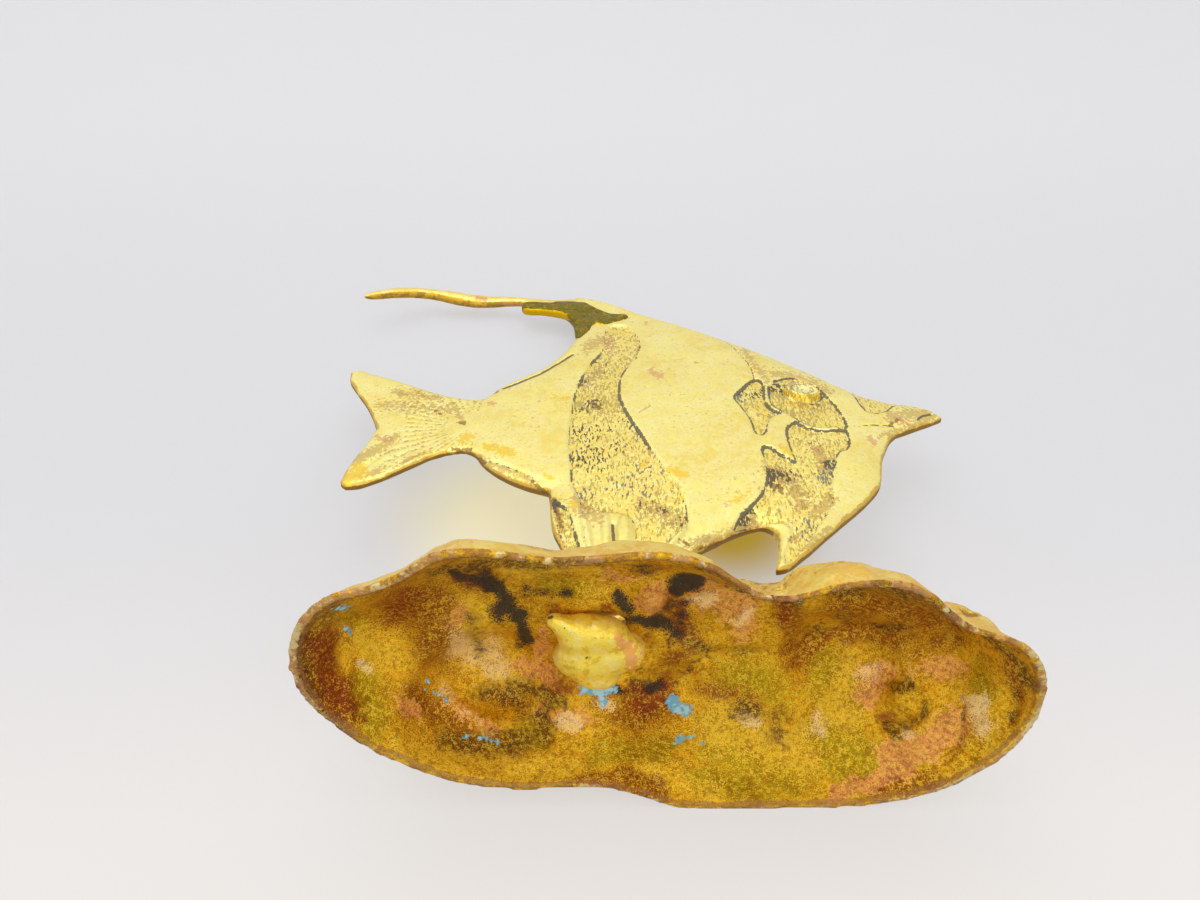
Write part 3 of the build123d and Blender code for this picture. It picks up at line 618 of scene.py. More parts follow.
# Films from the lowest up: colour, mask, grain, bite, strength, dullness, and where the mask is
# changed, its factor and shift
FISH_FILMS = [
    (WARM_GOLD, "broad", "cloud", 0.7, 0.55, 0.0),
    (CREAM_GOLD, "cloud", "fine", 0.5, 0.45, 0.0),
    (MOSS_GOLD, "fine", "dust", 0.5, 0.25, 0.1, 0.8, 0.0),
    (WARM_GOLD, "within", "fine", 0.9, 0.8, 0.1, 0.5, 0.0),
    (UMBER, "fan", "fine", 0.5, 0.5, 0.3, 0.55, 0.0),
    # Deeper gold on the rubbed edges, grown where they face down as painted shade
    (DEEP_GOLD, "edge", "cloud", 0.6, 0.75, 0.1, 0.75, 0.0),
    (STAIN_TAN, "tan", "fine", 1.1, 0.62, 0.1),
    (AMBER, "amber", "fine", 0.9, 0.75, 0.0),
    (ROSE, "stain", "fine", 0.9, 0.6, 0.3),
    # Umber on the sides that face down: painted shade
    (UMBER, "under", "cloud", 0.8, 0.8, 0.5, 0.9, 0.0),
    (CREAM_GOLD, "eye_top", "cloud", 0.3, 0.7, 0.0, 0.8, 0.0),
    (AMBER, "eye_wall", "cloud", 0.3, 0.85, 0.1, 0.9, 0.0),
    (DASH_TAN, "dashed", "fine", 0.4, 0.62, 0.3),
    (INK_BROWN, "inked", "fine", 0.5, 0.85, 0.9),
    (SLATE_BLUE, "slated", "fine", 0.3, 0.75, 0.8),
    (UMBER, "umber", "fine", 0.9, 0.75, 0.4),
    (UMBER, "eye_ring", "fine", 0.5, 0.6, 0.2, 0.75, 0.0),
    (LINE_INK, "lines", "fine", 0.3, 0.88, 0.9),
]
HOLLOW_FILMS = [
    (RUST_BROWN, "wide", "mid", 0.9, 0.4, 0.1, 1.0, -0.1),
    (YELLOW_GOLD, "mid", "dust", 0.8, 0.5, 0.0),
    (LEAF_OLIVE, "leaf", "fine", 0.9, 0.85, 0.1),
    (YELLOW_GOLD, "gold", "dust", 0.9, 0.85, 0.5),
    (RUST_BROWN, "rust", "fine", 0.9, 0.9, 0.1),
    (SALMON, "salmon", "fine", 0.9, 0.85, 0.5),
    (BLUSH, "blush", "dust", 1.1, 0.75, 0.9),
    # Umber strokes: painted shade in creases and on walls turned from the light
    (DARK_BROWN, "umber", "dust", 1.1, 0.85, 0.3),
    (RUST_RED, "red", "dust", 1.5, 0.72, 0.2),
    (SPARK_GOLD, "sparks", "fine", 0.5, 0.62, 0.2, 1.0, -0.06),
    (RUST_BROWN, "dust", "mid", 0.6, 0.45, 0.1, -1.0, 0.8),
    (DARK_BROWN, "fine", "dust", 0.9, 0.5, 0.2, -1.0, 0.7),
    (PIT_BLACK, "black", "dust", 1.2, 0.95, 0.6),
    (VERDIGRIS, "verdigris", "fine", 0.9, 0.92, 1.0),
    (VERDIGRIS_PALE, "verdigris_mid", "fine", 0.8, 0.8, 0.0),
]
OUTER_FILMS = [
    (WARM_GOLD, "wide", "mid", 0.8, 0.6, 0.0),
    (CREAM_GOLD, "mid", "fine", 0.7, 0.25, 0.0),
    (DEEP_GOLD, "pits", "fine", 0.6, 0.6, 0.2),
    (UMBER, "pits", "fine", 0.5, 0.7, 0.4, 1.0, -0.14),
]
RIM_FILMS = [
    (RIM_ROSE, "rim", "mid", 0.6, 0.7, 0.0),
    (CREAM_GOLD, "rim_wide", "fine", 0.6, 0.5, 0.0),
    (LIP_BROWN, "lip", "mid", 0.6, 0.6, 0.0, 0.8, 0.0),
]
STREAMER_FILMS = [
    (CREAM_GOLD, "cloud", "fine", 0.5, 0.35, 0.0),
    # Deeper gold and umber on the underside: painted shade
    (DEEP_GOLD, "under", "fine", 0.6, 0.85, 0.1),
    (UMBER, "under_cloud", "fine", 0.5, 0.6, 0.4),
    (ROSE, "stain", "fine", 0.6, 0.7, 0.3),
]
OLIVE_FILMS = [
    (OLIVE_DARK, "cloud", "fine", 0.8, 0.6, 0.2, 1.0, -0.05),
    (DEEP_GOLD, "fine", "dust", 0.5, 0.5, 0.0, 1.0, -0.22),
    # Yellow gold on the underside: a painted highlight
    (YELLOW_GOLD, "under", "fine", 0.9, 0.85, 0.0),
]
LUMP_FILMS = [
    (CREAM_GOLD, "cloud", "fine", 0.7, 0.35, 0.0, 1.0, -0.1),
    (DEEP_GOLD, "cloud", "fine", 0.8, 0.45, 0.0, -1.0, 0.7),
    (SALMON, "salmon", "fine", 1.0, 0.7, 0.2),
    # Dark glint marks: a painted reflection
    (INK_BROWN, "glint", "dust", 0.2, 0.9, 0.8),
]
# The dashes: where the markings let them start, their size in mm, turn, stretch and soft edge
DASH_START = (0.2, 0.7)
DASH_SIZE = 1.25
DASH_TURN = (0.0, 0.55, 0.0)
DASH_STRETCH = (2.0, 0.8, 0.6)
DASH_SOFT = (-0.05, 0.09)
# Widths in mm of the dark lines round the markings and in the cuts, and how dark the cuts are
RIM_WIDTH = 0.62
CUT_WIDTH = 0.55
CUT_DARK = 0.8
# How each metal ends: metallic, roughness, depth of its fine relief in mm, and what raises it
FISH_FINISH = (0.85, 0.4, 0.2, {"dust": 0.25, "dashed": -1.0})
ROCK_FINISH = (0.92, 0.42, 0.35, {"dust": 0.6, "fine": 0.5})
STREAMER_FINISH = (0.85, 0.4, 0.12, {"dust": 1.0})
OLIVE_FINISH = (0.95, 0.45, 0.2, {"fine": 1.0})
LUMP_FINISH = (0.55, 0.45, 0.12, {"fine": 1.0, "dust": 1.0})

# Stage: the pale table that the ornament lies on, and the floor for the other views
STAGE_REACH = 2500.0
TABLE_TOUCH = (39.2, 0.0)
TABLE_FAR = (6.2, 206.0)
TABLE_ENDS = (-400.0, 1600.0)
CLEAR_HEIGHT = -120.0
STAGE_COLOUR = (218, 217, 219)
FAR_COLOUR = (222, 222, 224)
WARM_TABLE = (233, 229, 225)
# Heights in metres over which the table turns from warm to plain, and from plain to its far colour
NEAR_BAND = (-0.06, 0.12)
FAR_BAND = (0.18, 0.4)
SHADOW_SHARE = 0.3
# Warm light on the table under the fish: place, reach, colour and strength
CASTS = [
    ((-34.0, 96.0), (50.0, 44.0), (246, 236, 196), 0.9),
    ((30.0, 92.0), (34.0, 30.0), (188, 156, 60), 1.0),
]
WORLD_COLOUR = (228, 228, 230)
ROOM_COLOUR = (0.98, 0.99, 1.0, 1.0)
ROOM_FRONT = 1.05
ROOM_BACK = 0.5
# Soft lamps: name, place, target, size in mm and power in watts
LAMPS = [
    ("overhead", (-150, -780, 190), (0, 0, 90), 700, 1.9),
    ("window", (220, -420, -520), (0, 0, 30), 420, 1.1),
]


def points_of(mesh):
    """A mesh's vertices as rows in mm."""
    flat = np.empty(len(mesh.vertices) * 3)
    mesh.vertices.foreach_get("co", flat)
    return flat.reshape(-1, 3) / MM


def normals_of(mesh):
    """A mesh's vertex normals as rows."""
    flat = np.empty(len(mesh.vertices) * 3)
    mesh.vertex_normals.foreach_get("vector", flat)
    return flat.reshape(-1, 3)


def place_points(mesh, points):
    """Moves a mesh's vertices to rows in mm."""
    mesh.vertices.foreach_set("co", (points * MM).ravel())
    mesh.update()


def paint(mesh, **layers):
    """Keeps numbers from 0 to 1 at each vertex under their names, for the materials."""
    for name, values in layers.items():
        layer = mesh.attributes.new(name, "FLOAT", "POINT")
        layer.data.foreach_set("value", np.clip(values, 0.0, 1.0))


def smooth_step(low, high, value):
    """Rises evenly and softly from 0 at low to 1 at high."""
    part = np.clip((value - low) / (high - low), 0.0, 1.0)
    return part * part * (3.0 - 2.0 * part)


def lifted(least, share):
    """A share from 0 to 1, lifted to start from the least one."""
    return least + (1.0 - least) * share


def hill(value, width, power=2):
    """A soft hill that is 1 where the value is 0."""
    return np.exp(-((value / width) ** power))


def lattice(cells, seed):
    """A repeatable number from -1 to 1 for each whole-number cell, by mixing its bits."""
    mixed = cells @ np.array([374761393, 668265263, 1442695041]) + seed * 97531
    mixed = (mixed ^ (mixed >> 13)) * 1274126177
    return ((mixed ^ (mixed >> 16)) & 0xFFFF) / 32767.5 - 1.0


def bumps(points, size, seed):
    """Smooth random swelling from -1 to 1, its lumps about `size` mm apart."""
    scaled = points / size
    cell = np.floor(scaled).astype(np.int64)
    part = scaled - cell
    part = part * part * (3.0 - 2.0 * part)
    total = np.zeros(len(points))
    for corner in itertools.product((0, 1), repeat=3):
        weight = np.prod(np.where(corner, part, 1.0 - part), axis=1)
        total += weight * lattice(cell + corner, seed)
    return total


def swelling(points, layers):
    """The sum of some layers of random swelling."""
    return sum(share * bumps(points, size, seed) for share, size, seed in layers)


def smooth_line(points, spacing=1.0):
    """A smooth curve through given points, with the tangents of a spline by chord length."""
    knots = np.array(points, float)
    lengths = np.linalg.norm(np.diff(knots, axis=0), axis=1)
    slopes = np.diff(knots, axis=0) / lengths[:, None]
    tangents = np.empty_like(knots)
    tangents[0], tangents[-1] = slopes[0], slopes[-1]
    for i in range(1, len(knots) - 1):
        before, after = lengths[i - 1], lengths[i]
        tangents[i] = (slopes[i] * before + slopes[i - 1] * after) / (before + after)
    made = []
    for i, length in enumerate(lengths):
        count = max(1, int(round(length / spacing)))
        for t in np.arange(count) / count:
            a = (1 + 2 * t) * (1 - t) ** 2
            b = t * (1 - t) ** 2 * length
            c = t * t * (3 - 2 * t)
            d = t * t * (t - 1) * length
            made.append(a * knots[i] + b * tangents[i] + c * knots[i + 1] + d * tangents[i + 1])
    return np.array(made + [knots[-1]])


def smooth_loop(points, spacing=1.0):
    """A smooth closed curve through given points."""
    wrapped = list(points[-2:]) + list(points) + list(points[:2])
    line = smooth_line(wrapped, spacing)
    from_first = np.linalg.norm(line - np.array(points[0]), axis=1)
    return line[np.argmin(from_first) : len(line) - 1 - np.argmin(from_first[::-1])]


def line_distance(flat, line):
    """Distance of each flat point from an open line."""
    best = np.full(len(flat), 1e9)
    for start, end in zip(line[:-1], line[1:]):
        run = end - start
        along = np.clip((flat - start) @ run / (run @ run), 0.0, 1.0)
        gap = flat - start - along[:, None] * run
        best = np.minimum(best, np.einsum("ij,ij->i", gap, gap))
    return np.sqrt(best)


def loop_depth(flat, loop):
    """How far each flat point lies inside a closed loop, below zero outside it."""
    closed = np.vstack([loop, loop[:1]])
    inside = np.zeros(len(flat), bool)
    for start, end in zip(closed[:-1], closed[1:]):
        crosses = (start[1] > flat[:, 1]) != (end[1] > flat[:, 1])
        rise = end[1] - start[1] if end[1] != start[1] else 1e-9
        at = start[0] + (flat[:, 1] - start[1]) / rise * (end[0] - start[0])
        inside ^= crosses & (flat[:, 0] < at)
    return np.where(inside, 1.0, -1.0) * line_distance(flat, closed)


def photo_place(points):
    """Where each point in mm lies in the photograph's own pixels, for patches of colour."""
    arm = points - CAMERA_PLACE
    offset = np.column_stack([arm[:, 0], -(arm @ CAMERA_UP)])
    return PHOTO_SIZE / 2 + PHOTO_REACH * offset / (arm @ CAMERA_AWAY)[:, None]


def sight_lines(pixels):
    """The way from the camera through each pixel of the photograph, one step deep."""
    across, down = ((np.array(pixels, float) - PHOTO_SIZE / 2) / PHOTO_REACH).T
    return np.outer(across, (1.0, 0.0, 0.0)) - np.outer(down, CAMERA_UP) + CAMERA_AWAY


def traced(view, spots):
    """Places on the fish's shown face, along and up in mm, of spots read off an enlarged view."""
    left, top, enlargement = view
    ways = sight_lines(np.array(spots, float) / enlargement + (left, top))
    loop = fish_loop()
    half = np.full(len(ways), EDGE_HALF)
    for _ in range(4):
        run = (-half - CAMERA_PLACE[1]) / ways[:, 1]
        flat = (CAMERA_PLACE + run[:, None] * ways)[:, [0, 2]]
        half = body_half(flat, loop_depth(flat, loop))
    return flat


def pixel_place(pixel, height):
    """The point that a pixel of the photograph shows, at a height in mm."""
    way = sight_lines([pixel])[0]
    return CAMERA_PLACE + (height - CAMERA_PLACE[2]) / way[2] * way


def new_piece(name, mesh, node, material):
    """A finished piece on the root body, in place of a node's part, which it hides."""
    piece = bpy.data.objects.new(name, mesh)
    bpy.context.scene.collection.objects.link(piece)
    mesh.materials.clear()
    mesh.materials.append(material)
    mesh.shade_smooth()
    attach(piece, "root")
    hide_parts(node)


def remeshed(form, name, voxel):
    """An even, closed skin of small faces over a rough form."""
    rough_mesh = bpy.data.meshes.new(name + "_rough")
    form.to_mesh(rough_mesh)
    form.free()
    rough = bpy.data.objects.new(name + "_rough", rough_mesh)
    bpy.context.scene.collection.objects.link(rough)
    skin = rough.modifiers.new("skin", "REMESH")
    skin.mode = "VOXEL"
    skin.voxel_size = voxel * MM
    graph = bpy.context.evaluated_depsgraph_get()
    mesh = bpy.data.meshes.new_from_object(rough.evaluated_get(graph))
    mesh.name = name
    bpy.data.objects.remove(rough)
    bpy.data.meshes.remove(rough_mesh)
    return mesh


def slab(loop, half):
    """A flat slab of even thickness with the loop as its outline."""
    form = bmesh.new()
    face = form.faces.new([form.verts.new((x * MM, -half * MM, z * MM)) for x, z in loop])
    pushed = bmesh.ops.extrude_face_region(form, geom=[face])
    moved = [part for part in pushed["geom"] if isinstance(part, bmesh.types.BMVert)]
    bmesh.ops.translate(form, verts=moved, vec=(0, 2 * half * MM, 0))
    bmesh.ops.recalc_face_normals(form, faces=form.faces)
    return form


def slab_places(mesh):
    """A slab's points, flat places and side from -1 to 1, and places that part its two faces."""
    points = points_of(mesh)
    flat = points[:, [0, 2]]
    side = np.clip(points[:, 1] / EDGE_HALF, -1.0, 1.0)
    return points, flat, side, np.column_stack([flat[:, 0], side * FACE_GAP, flat[:, 1]])


def node_form(node):
    """A merged copy of a frame node's mesh, to model on."""
    form = bmesh.new()
    form.from_mesh(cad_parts[node].data)
    bmesh.ops.remove_doubles(form, verts=form.verts, dist=MM / 1000)
    return form


def relaxed(mesh, choose, rounds):
    """Smooths the chosen vertices of a mesh a number of times."""
    form = bmesh.new()
    form.from_mesh(mesh)
    form.verts.ensure_lookup_table()
    chosen = [form.verts[i] for i in np.flatnonzero(choose)]
    axes = {"use_axis_x": True, "use_axis_y": True, "use_axis_z": True}
    for _ in range(rounds):
        bmesh.ops.smooth_vert(form, verts=chosen, factor=0.5, **axes)
    form.to_mesh(mesh)
    form.free()
    mesh.update()


def pixel_line(numbers):
    """Pixels of the photograph as a line, with a short end so that one pixel makes a line too."""
    spots = np.reshape(numbers, (-1, 2)).astype(float)
    return np.vstack([spots, spots[-1] + (0.01, 0.0)])


def stroke_mask(places, strokes, warp):
    """How strongly flat places lie under soft strokes, 0.5 at their edges."""
    mask = np.zeros(len(places))
    for reach, fade, *numbers in strokes:
        gap = line_distance(places, pixel_line(numbers)) - warp * min(1.0, fade / 8.0)
        mask = np.maximum(mask, 0.5 + (reach - gap) / (2.0 * fade))
    return np.minimum(mask, 1.0)


def fish_loop():
    """The fish's whole outline, round all its stretches."""
    return np.vstack([smooth_line(stretch)[:-1] for stretch in STRETCHES])


def body_half(flat, edge):
    """Half thickness of the plain casting: a shallow dome that thins towards its edges."""
    offset = (flat - DOME_CENTRE) / DOME_REACH
    swell = np.clip(1.0 - (offset**2).sum(axis=1) / DOME_SPREAD**2, 0.0, 1.0)
    dome = EDGE_HALF + (BODY_HALF - EDGE_HALF) * swell**DOME_POWER
    limit = EDGE_HALF * EDGE_THICKER + EDGE_SLOPE * np.maximum(edge, 0.0)
    half = -np.log(np.exp(-dome * DOME_BLEND) + np.exp(-limit * DOME_BLEND)) / DOME_BLEND
    foot = smooth_step(*FOOT_RISE, flat[:, 1]) * smooth_step(*FOOT_START, flat[:, 0])
    return np.maximum(half, FOOT_HALF * foot)


def sunken_fields(flat):
    """How deep each place lies within the markings, and how far its face is let in, in mm."""
    deepest, sunk = np.full(len(flat), -MARK_REACH), np.zeros(len(flat))
    for marking, share in SUNKEN:
        within = loop_depth(flat, smooth_loop(traced(*marking)))
        deepest = np.maximum(deepest, within)
        sunk = np.maximum(sunk, RELIEF * share * smooth_step(*MARK_WALL, within))
    return deepest, sunk


def cut_fields(flat):
    """How far each place lies from a dark line, and how deep its face is cut, in mm."""
    nearest, cut = np.full(len(flat), MARK_REACH), np.zeros(len(flat))
    for line, depth, width, dark in CUT_LINES:
        gap = line_distance(flat, smooth_line(traced(*line)))
        nearest = np.minimum(nearest, np.maximum(gap + PALE_LINE * (1.0 - dark), 0.0))
        cut += depth * hill(gap, width)
    return nearest, cut


def fan_fields(flat, solid):
    """Mask of the tail's fan, and its rays from 0 to 1."""
    arm = flat - traced(*FAN_ROOT)[0]
    inner = smooth_step(*FAN_START, np.linalg.norm(arm, axis=1))
    border = loop_depth(flat, np.vstack([traced(*FAN_EDGE), FAN_END]))
    angle = np.arctan2(arm[:, 1], -arm[:, 0])
    ray = 0.5 + 0.5 * np.cos(angle * FAN_TURNS + swelling(solid, RAY_SWAY))
    return inner * smooth_step(*FAN_BORDER, border), ray


def eye_fields(flat):
    """Distance from the eye's middle on its stretched circle, and the mask of its button."""
    away = np.linalg.norm((flat - traced(*EYE_SPOT)[0]) @ EYE_TURN / EYE_STRETCH, axis=1)
    return away, smooth_step(EYE_REACH, EYE_REACH - EYE_SLOPE, away)


def blade_rise(flat):
    """Height of the sea grass over each face."""
    rise = np.zeros(len(flat))
    for root, tip, half, height in BLADES:
        root, tip = traced(BODY_VIEW, [root, tip])
        run = tip - root
        along = np.clip((flat - root) @ run / (run @ run), 0.0, 1.0)
        gap = np.linalg.norm(flat - root - along[:, None] * run, axis=1)
        root_share, swell, early = BLADE_TAPER
        width = half * (root_share + swell * np.sin(math.pi * along**early))
        rise = np.maximum(rise, height * smooth_step(width, width * BLADE_SIDE, gap))
    return rise


def patch_strength(flat, patches):
    """The strongest of some round patches, each with its view, place, reach and strength."""
    total = np.zeros(len(flat))
    for view, spots in patches:
        places = traced(view, [spot[:2] for spot in spots])
        for place, (_, _, reach, strength) in zip(places, spots):
            gap = np.linalg.norm(flat - place, axis=1) / reach
            total = np.maximum(total, strength * smooth_step(1.3, 0.5, gap))
    return total


def fish_mesh():
    """The cast fish with its sunken markings, rays, eye and sea grass."""
    loop = fish_loop()
    mesh = remeshed(slab(loop, EDGE_HALF), "fish_casting", FISH_VOXEL)
    points, flat, side, solid = slab_places(mesh)
    face = smooth_step(*FACE_SHARE, np.abs(side))
    edge = loop_depth(flat, loop)
    deepest, sunk = sunken_fields(flat)
    nearest, cut = cut_fields(flat)
    fan, ray = fan_fields(flat, solid)
    from_eye, eye = eye_fields(flat)
    blades = blade_rise(flat) * smooth_step(*BLADE_INSET, edge)
    stipple = smooth_step(*MARK_WALL, deepest) * np.clip(swelling(solid, STIPPLE), *STIPPLE_LIMITS)
    half = body_half(flat, edge) - sunk - cut - STIPPLE_DEPTH * stipple - FAN_DEPTH * fan * ray
    half += EYE_RISE * eye - DISH_DEPTH * hill(from_eye, DISH_REACH, 4)
    half += blades + swelling(solid, FACE_WAVES)
    rounding = np.sqrt(np.clip(edge / ROUND_REACH, 0.0, 1.0))
    points[:, 1] = side * half * lifted(EDGE_ROUND, rounding)
    place_points(mesh, points)
    photo = photo_place(points)
    down = normals_of(mesh)[:, 2]
    raised = smooth_step(*BLADE_CLEAR, blades) + smooth_step(*EYE_CLEAR, eye)
    marks = deepest - CLEARED * raised
    eye_rim = np.abs(from_eye - EYE_REACH - EYE_RIM_OUT)
    rim_height, steepness, least = BLADE_RIM
    blade_rims = np.where(blades > BLADE_FOOT, np.abs(blades - rim_height) * steepness, MARK_REACH)
    rims = np.minimum(np.minimum(np.abs(deepest - RIM_INSET), eye_rim), blade_rims + least)
    fade = smooth_step(*FADE_SPAN, swelling(solid, LINE_FADE))
    rim_dark = np.maximum(LINE_DARK[0] + LINE_DARK[1] * fade, patch_strength(flat, LINE_PATCHES))
    crowds = DASH_PATCH_SHARE * patch_strength(flat, DASH_PATCHES)
    crowds = np.maximum(DASH_LEAST + swelling(solid, DASH_CROWDS), crowds)
    crowds += DASH_EDGE[0] * np.exp(-np.maximum(deepest, 0.0) / DASH_EDGE[1])
    rubbed = 1.0 - smooth_step(*WEAR_SPAN, edge + swelling(solid, EDGE_WEAR)) * face
    stains = stroke_mask(photo, FISH_STAINS, swelling(solid, STAIN_WARP))
    far_stains = swelling(solid, FAR_STAINS) - FAR_STAIN_SHIFT
    paint(
        mesh,
        marks=(marks / MARK_REACH + 1.0) / 2.0,
        rims=rims / MARK_REACH,
        rim_dark=rim_dark * face,
        cuts=nearest / MARK_REACH,
        dash_share=crowds * face,
        ink=patch_strength(flat, INK_PATCHES) * (1.0 - eye),
        slate=patch_strength(flat, SLATE_PATCHES),
        eye_wall=hill(from_eye - EYE_REACH + EYE_WALL[0], EYE_WALL[1]),
        eye_ring=hill(from_eye - DISH_REACH, RING_WIDTH) + hill(from_eye, PUPIL_REACH),
        eye_top=smooth_step(*EYE_TOP, eye),
        tan=stroke_mask(photo, FISH_TAN, swelling(solid, TAN_WARP)) * face * (1.0 - eye),
        umber=stroke_mask(photo, FISH_UMBER, swelling(solid, UMBER_WARP)) * (side < 0.0),
        amber=stroke_mask(photo, FISH_AMBER, swelling(solid, AMBER_WARP)) * face,
        stain=np.where(side < 0.0, stains, far_stains) * face,
        fan=fan * face * lifted(FAN_LEAST, ray),
        # Deeper gold on rubbed edges grows where they turn down, and the umber underside: painted
        # shade
        edge=rubbed * lifted(WEAR_LEAST, smooth_step(*EDGE_SHADE_TURN, down)),
        under=smooth_step(*UNDER_SHADE_TURN, down) * (1.0 - face),
    )
    return mesh


def hollow_side(mesh, points):
    """Which vertices lie in the hollow, joined to the top only across the rim or foot's hole."""
    ends = np.empty(len(mesh.edges) * 2, np.int64)
    mesh.edges.foreach_get("vertices", ends)
    ends = ends.reshape(-1, 2)
    x, y, length, width, height = FOOT_HOLE
    in_hole = (abs(points[:, 0] - x) < length) & (abs(points[:, 1] - y) < width)
    crossing = in_hole & (points[:, 2] > height) | (points[:, 2] < RIM_HEIGHT)
    ends = ends[~crossing[ends].any(axis=1)]
    outside = np.zeros(len(points), bool)
    outside[np.argmax(points[:, 2])] = True
    while True:
        spread = ends[outside[ends[:, 0]] != outside[ends[:, 1]]]
        if len(spread) == 0:
            return ~outside
        outside[spread.ravel()] = True


def rock_moves(points):
    """Where the casting's edge lies once its waves are drawn as deep as the photograph shows."""
    moved = points.copy()
    up = smooth_step(*WALL_SPAN, points[:, 2])
    for moves, side in ((BACK_MOVES, -1.0), (FRONT_MOVES, 1.0)):
        along, rim, wall = np.array(moves).T
        shift = np.interp(points[:, 0], along, rim) * (1.0 - up)
        shift += np.interp(points[:, 0], along, wall) * up
        moved[:, 1] += smooth_step(*SIDE_SPAN, side * points[:, 1]) * shift
    moved[:, 0] -= LEFT_MOVE * smooth_step(*LEFT_SPAN, points[:, 0])
    moved[:, 1] = np.minimum(moved[:, 1], FRONT_LIMIT)
    return moved


def lip_shares(points, outward, lip):
    """For each vertex of the lip, 0 by the hollow and 1 by the outer wall."""
    shares = np.zeros(len(points))
    trees = []
    for chosen in (~outward & ~lip, outward & ~lip):
        tree = KDTree(int(chosen.sum()))
        for number, point in enumerate(points[chosen]):
            tree.insert(point, number)
        tree.balance()
        trees.append(tree)
    for index in np.flatnonzero(lip):
        inner, outer = [tree.find(points[index])[2] for tree in trees]
        shares[index] = inner / (inner + outer)
    return shares


def rock_mesh():
    """The hollow cast rock, craggy outside and lumpy inside."""
    mesh = remeshed(node_form("rock_base"), "rock_base", ROCK_VOXEL)
    points = points_of(mesh)
    outward = ~hollow_side(mesh, points)
    relaxed(mesh, ~outward & (points[:, 2] > HOLLOW_FLOOR), HOLLOW_ROUNDS)
    relaxed(mesh, points[:, 2] >= FLAT_RIM, WALL_ROUNDS)
    relaxed(mesh, points[:, 2] < RIM_BAND, RIM_ROUNDS)
    points = points_of(mesh)
    lip = points[:, 2] < RIM_HEIGHT
    shares = lip_shares(points, outward, lip)
    points = rock_moves(points)
    inner_lip = smooth_step(*LIP_INNER, shares) * smooth_step(*LIP_LOW, points[:, 2])
    points[:, 2] += LIP_LIFT * inner_lip
    place_points(mesh, points)
    normals = normals_of(mesh)
    points[:, 2] = np.maximum(points[:, 2], 0.0)
    photo = photo_place(points)
    high = smooth_step(*CRAG_HEIGHT, points[:, 2])
    lumpy = swelling(points, CRAG_LUMPS)
    pits = PIT_DEPTH * smooth_step(*PIT_SPAN, swelling(points, CRAG_PITS))
    pits = (swelling(points, CRAG_GRIT) - pits) * lifted(CRAG_LEAST, high)
    hollow_push = swelling(points, HOLLOW_ROUGH)
    for reach, rise, *numbers in HOLLOW_FORMS:
        hollow_push += rise * hill(line_distance(photo, pixel_line(numbers)), reach * FORM_WIDTH)
    push = np.where(outward, lumpy + pits - CRAG_SINK, np.maximum(hollow_push, HOLLOW_LIMIT))
    points = points + normals * (push * smooth_step(*CRAG_START, points[:, 2]))[:, None]
    points[:, 2] = np.maximum(points[:, 2], 0.0)
    place_points(mesh, points)
    shown = np.where(lip, smooth_step(*LIP_SHARES, shares), outward)
    low = smooth_step(*RIM_PAINT, points[:, 2])
    start, pit_share, lump_share = PIT_PAINT
    pitted = (start - pits * pit_share - lumpy * lump_share) * lifted(PIT_LEAST, high)
    paint(mesh, inner=~outward, rim=low * shown, lip=low * (1.0 - shown), pits=pitted)
    warp = swelling(points, HOLLOW_WARP)
    for name, strokes in HOLLOW_COLOURS.items():
        paint(mesh, **{name: stroke_mask(photo, strokes, warp) * ~outward})
    return mesh


def streamer_mesh():
    """The trailing filament, a slightly uneven tapered bar that runs on into the fish's crest."""
    mesh = remeshed(node_form("dorsal_streamer"), "dorsal_streamer", STREAMER_VOXEL)
    relaxed(mesh, np.ones(len(mesh.vertices), bool), STREAMER_ROUNDS)
    relaxed(mesh, points_of(mesh)[:, 0] < BEND_START, BEND_ROUNDS)
    points = points_of(mesh)
    end = np.prod([smooth_step(*span, points[:, 0]) for span in END_SPANS], axis=0)
    push = swelling(points, STREAMER_ROUGH) + SWELL + END_SWELL * end
    points = points + normals_of(mesh) * push[:, None]
    points[:, 0] += CREST_PULL * smooth_step(*CREST_SPAN, points[:, 0])
    points[:, 2] += MIDDLE_LIFT * smooth_step(*MIDDLE_SPAN, points[:, 0])
    points[:, 2] = np.minimum(points[:, 2], STREAMER_TOP)
    place_points(mesh, points)
    warp = swelling(points, STREAMER_WARP)
    stain = stroke_mask(photo_place(points), STREAMER_STAINS, warp)
    # The underside is marked for its painted shade
    paint(mesh, under=smooth_step(*STREAMER_SHADE_UNDER, normals_of(mesh)[:, 2]), stain=stain)
    return mesh


def olive_mesh():
    """Olive braze run over the streamer's joint, in a skin that follows the casting."""
    loop = smooth_loop(OLIVE_PATCH, OLIVE_SPACING)
    mesh = remeshed(slab(loop, EDGE_HALF), "streamer_braze", OLIVE_VOXEL)
    points, flat, side, solid = slab_places(mesh)
    edge = loop_depth(flat, fish_loop())
    under = np.where(edge > -0.5, body_half(flat, edge), STREAMER_HALF)
    under = np.maximum(under, STREAMER_HALF * smooth_step(*OLIVE_OVERHANG, flat[:, 0]))
    rise = OLIVE_RISE * lifted(OLIVE_LEAST, smooth_step(*OLIVE_THIN, flat[:, 0]))
    rounding = np.sqrt(np.clip(loop_depth(flat, loop) / OLIVE_ROUND, 0.0, 1.0))
    swell = rise * rounding * (1.0 + swelling(solid, OLIVE_SWELL))
    points[:, 1] = side * (under + swell - OLIVE_SINK)
    place_points(mesh, points)
    relaxed(mesh, np.ones(len(points), bool), OLIVE_ROUNDS)
    # The underside is marked for its painted highlight
    paint(mesh, under=smooth_step(*OLIVE_HIGHLIGHT_UNDER, normals_of(mesh)[:, 2]))
    return mesh


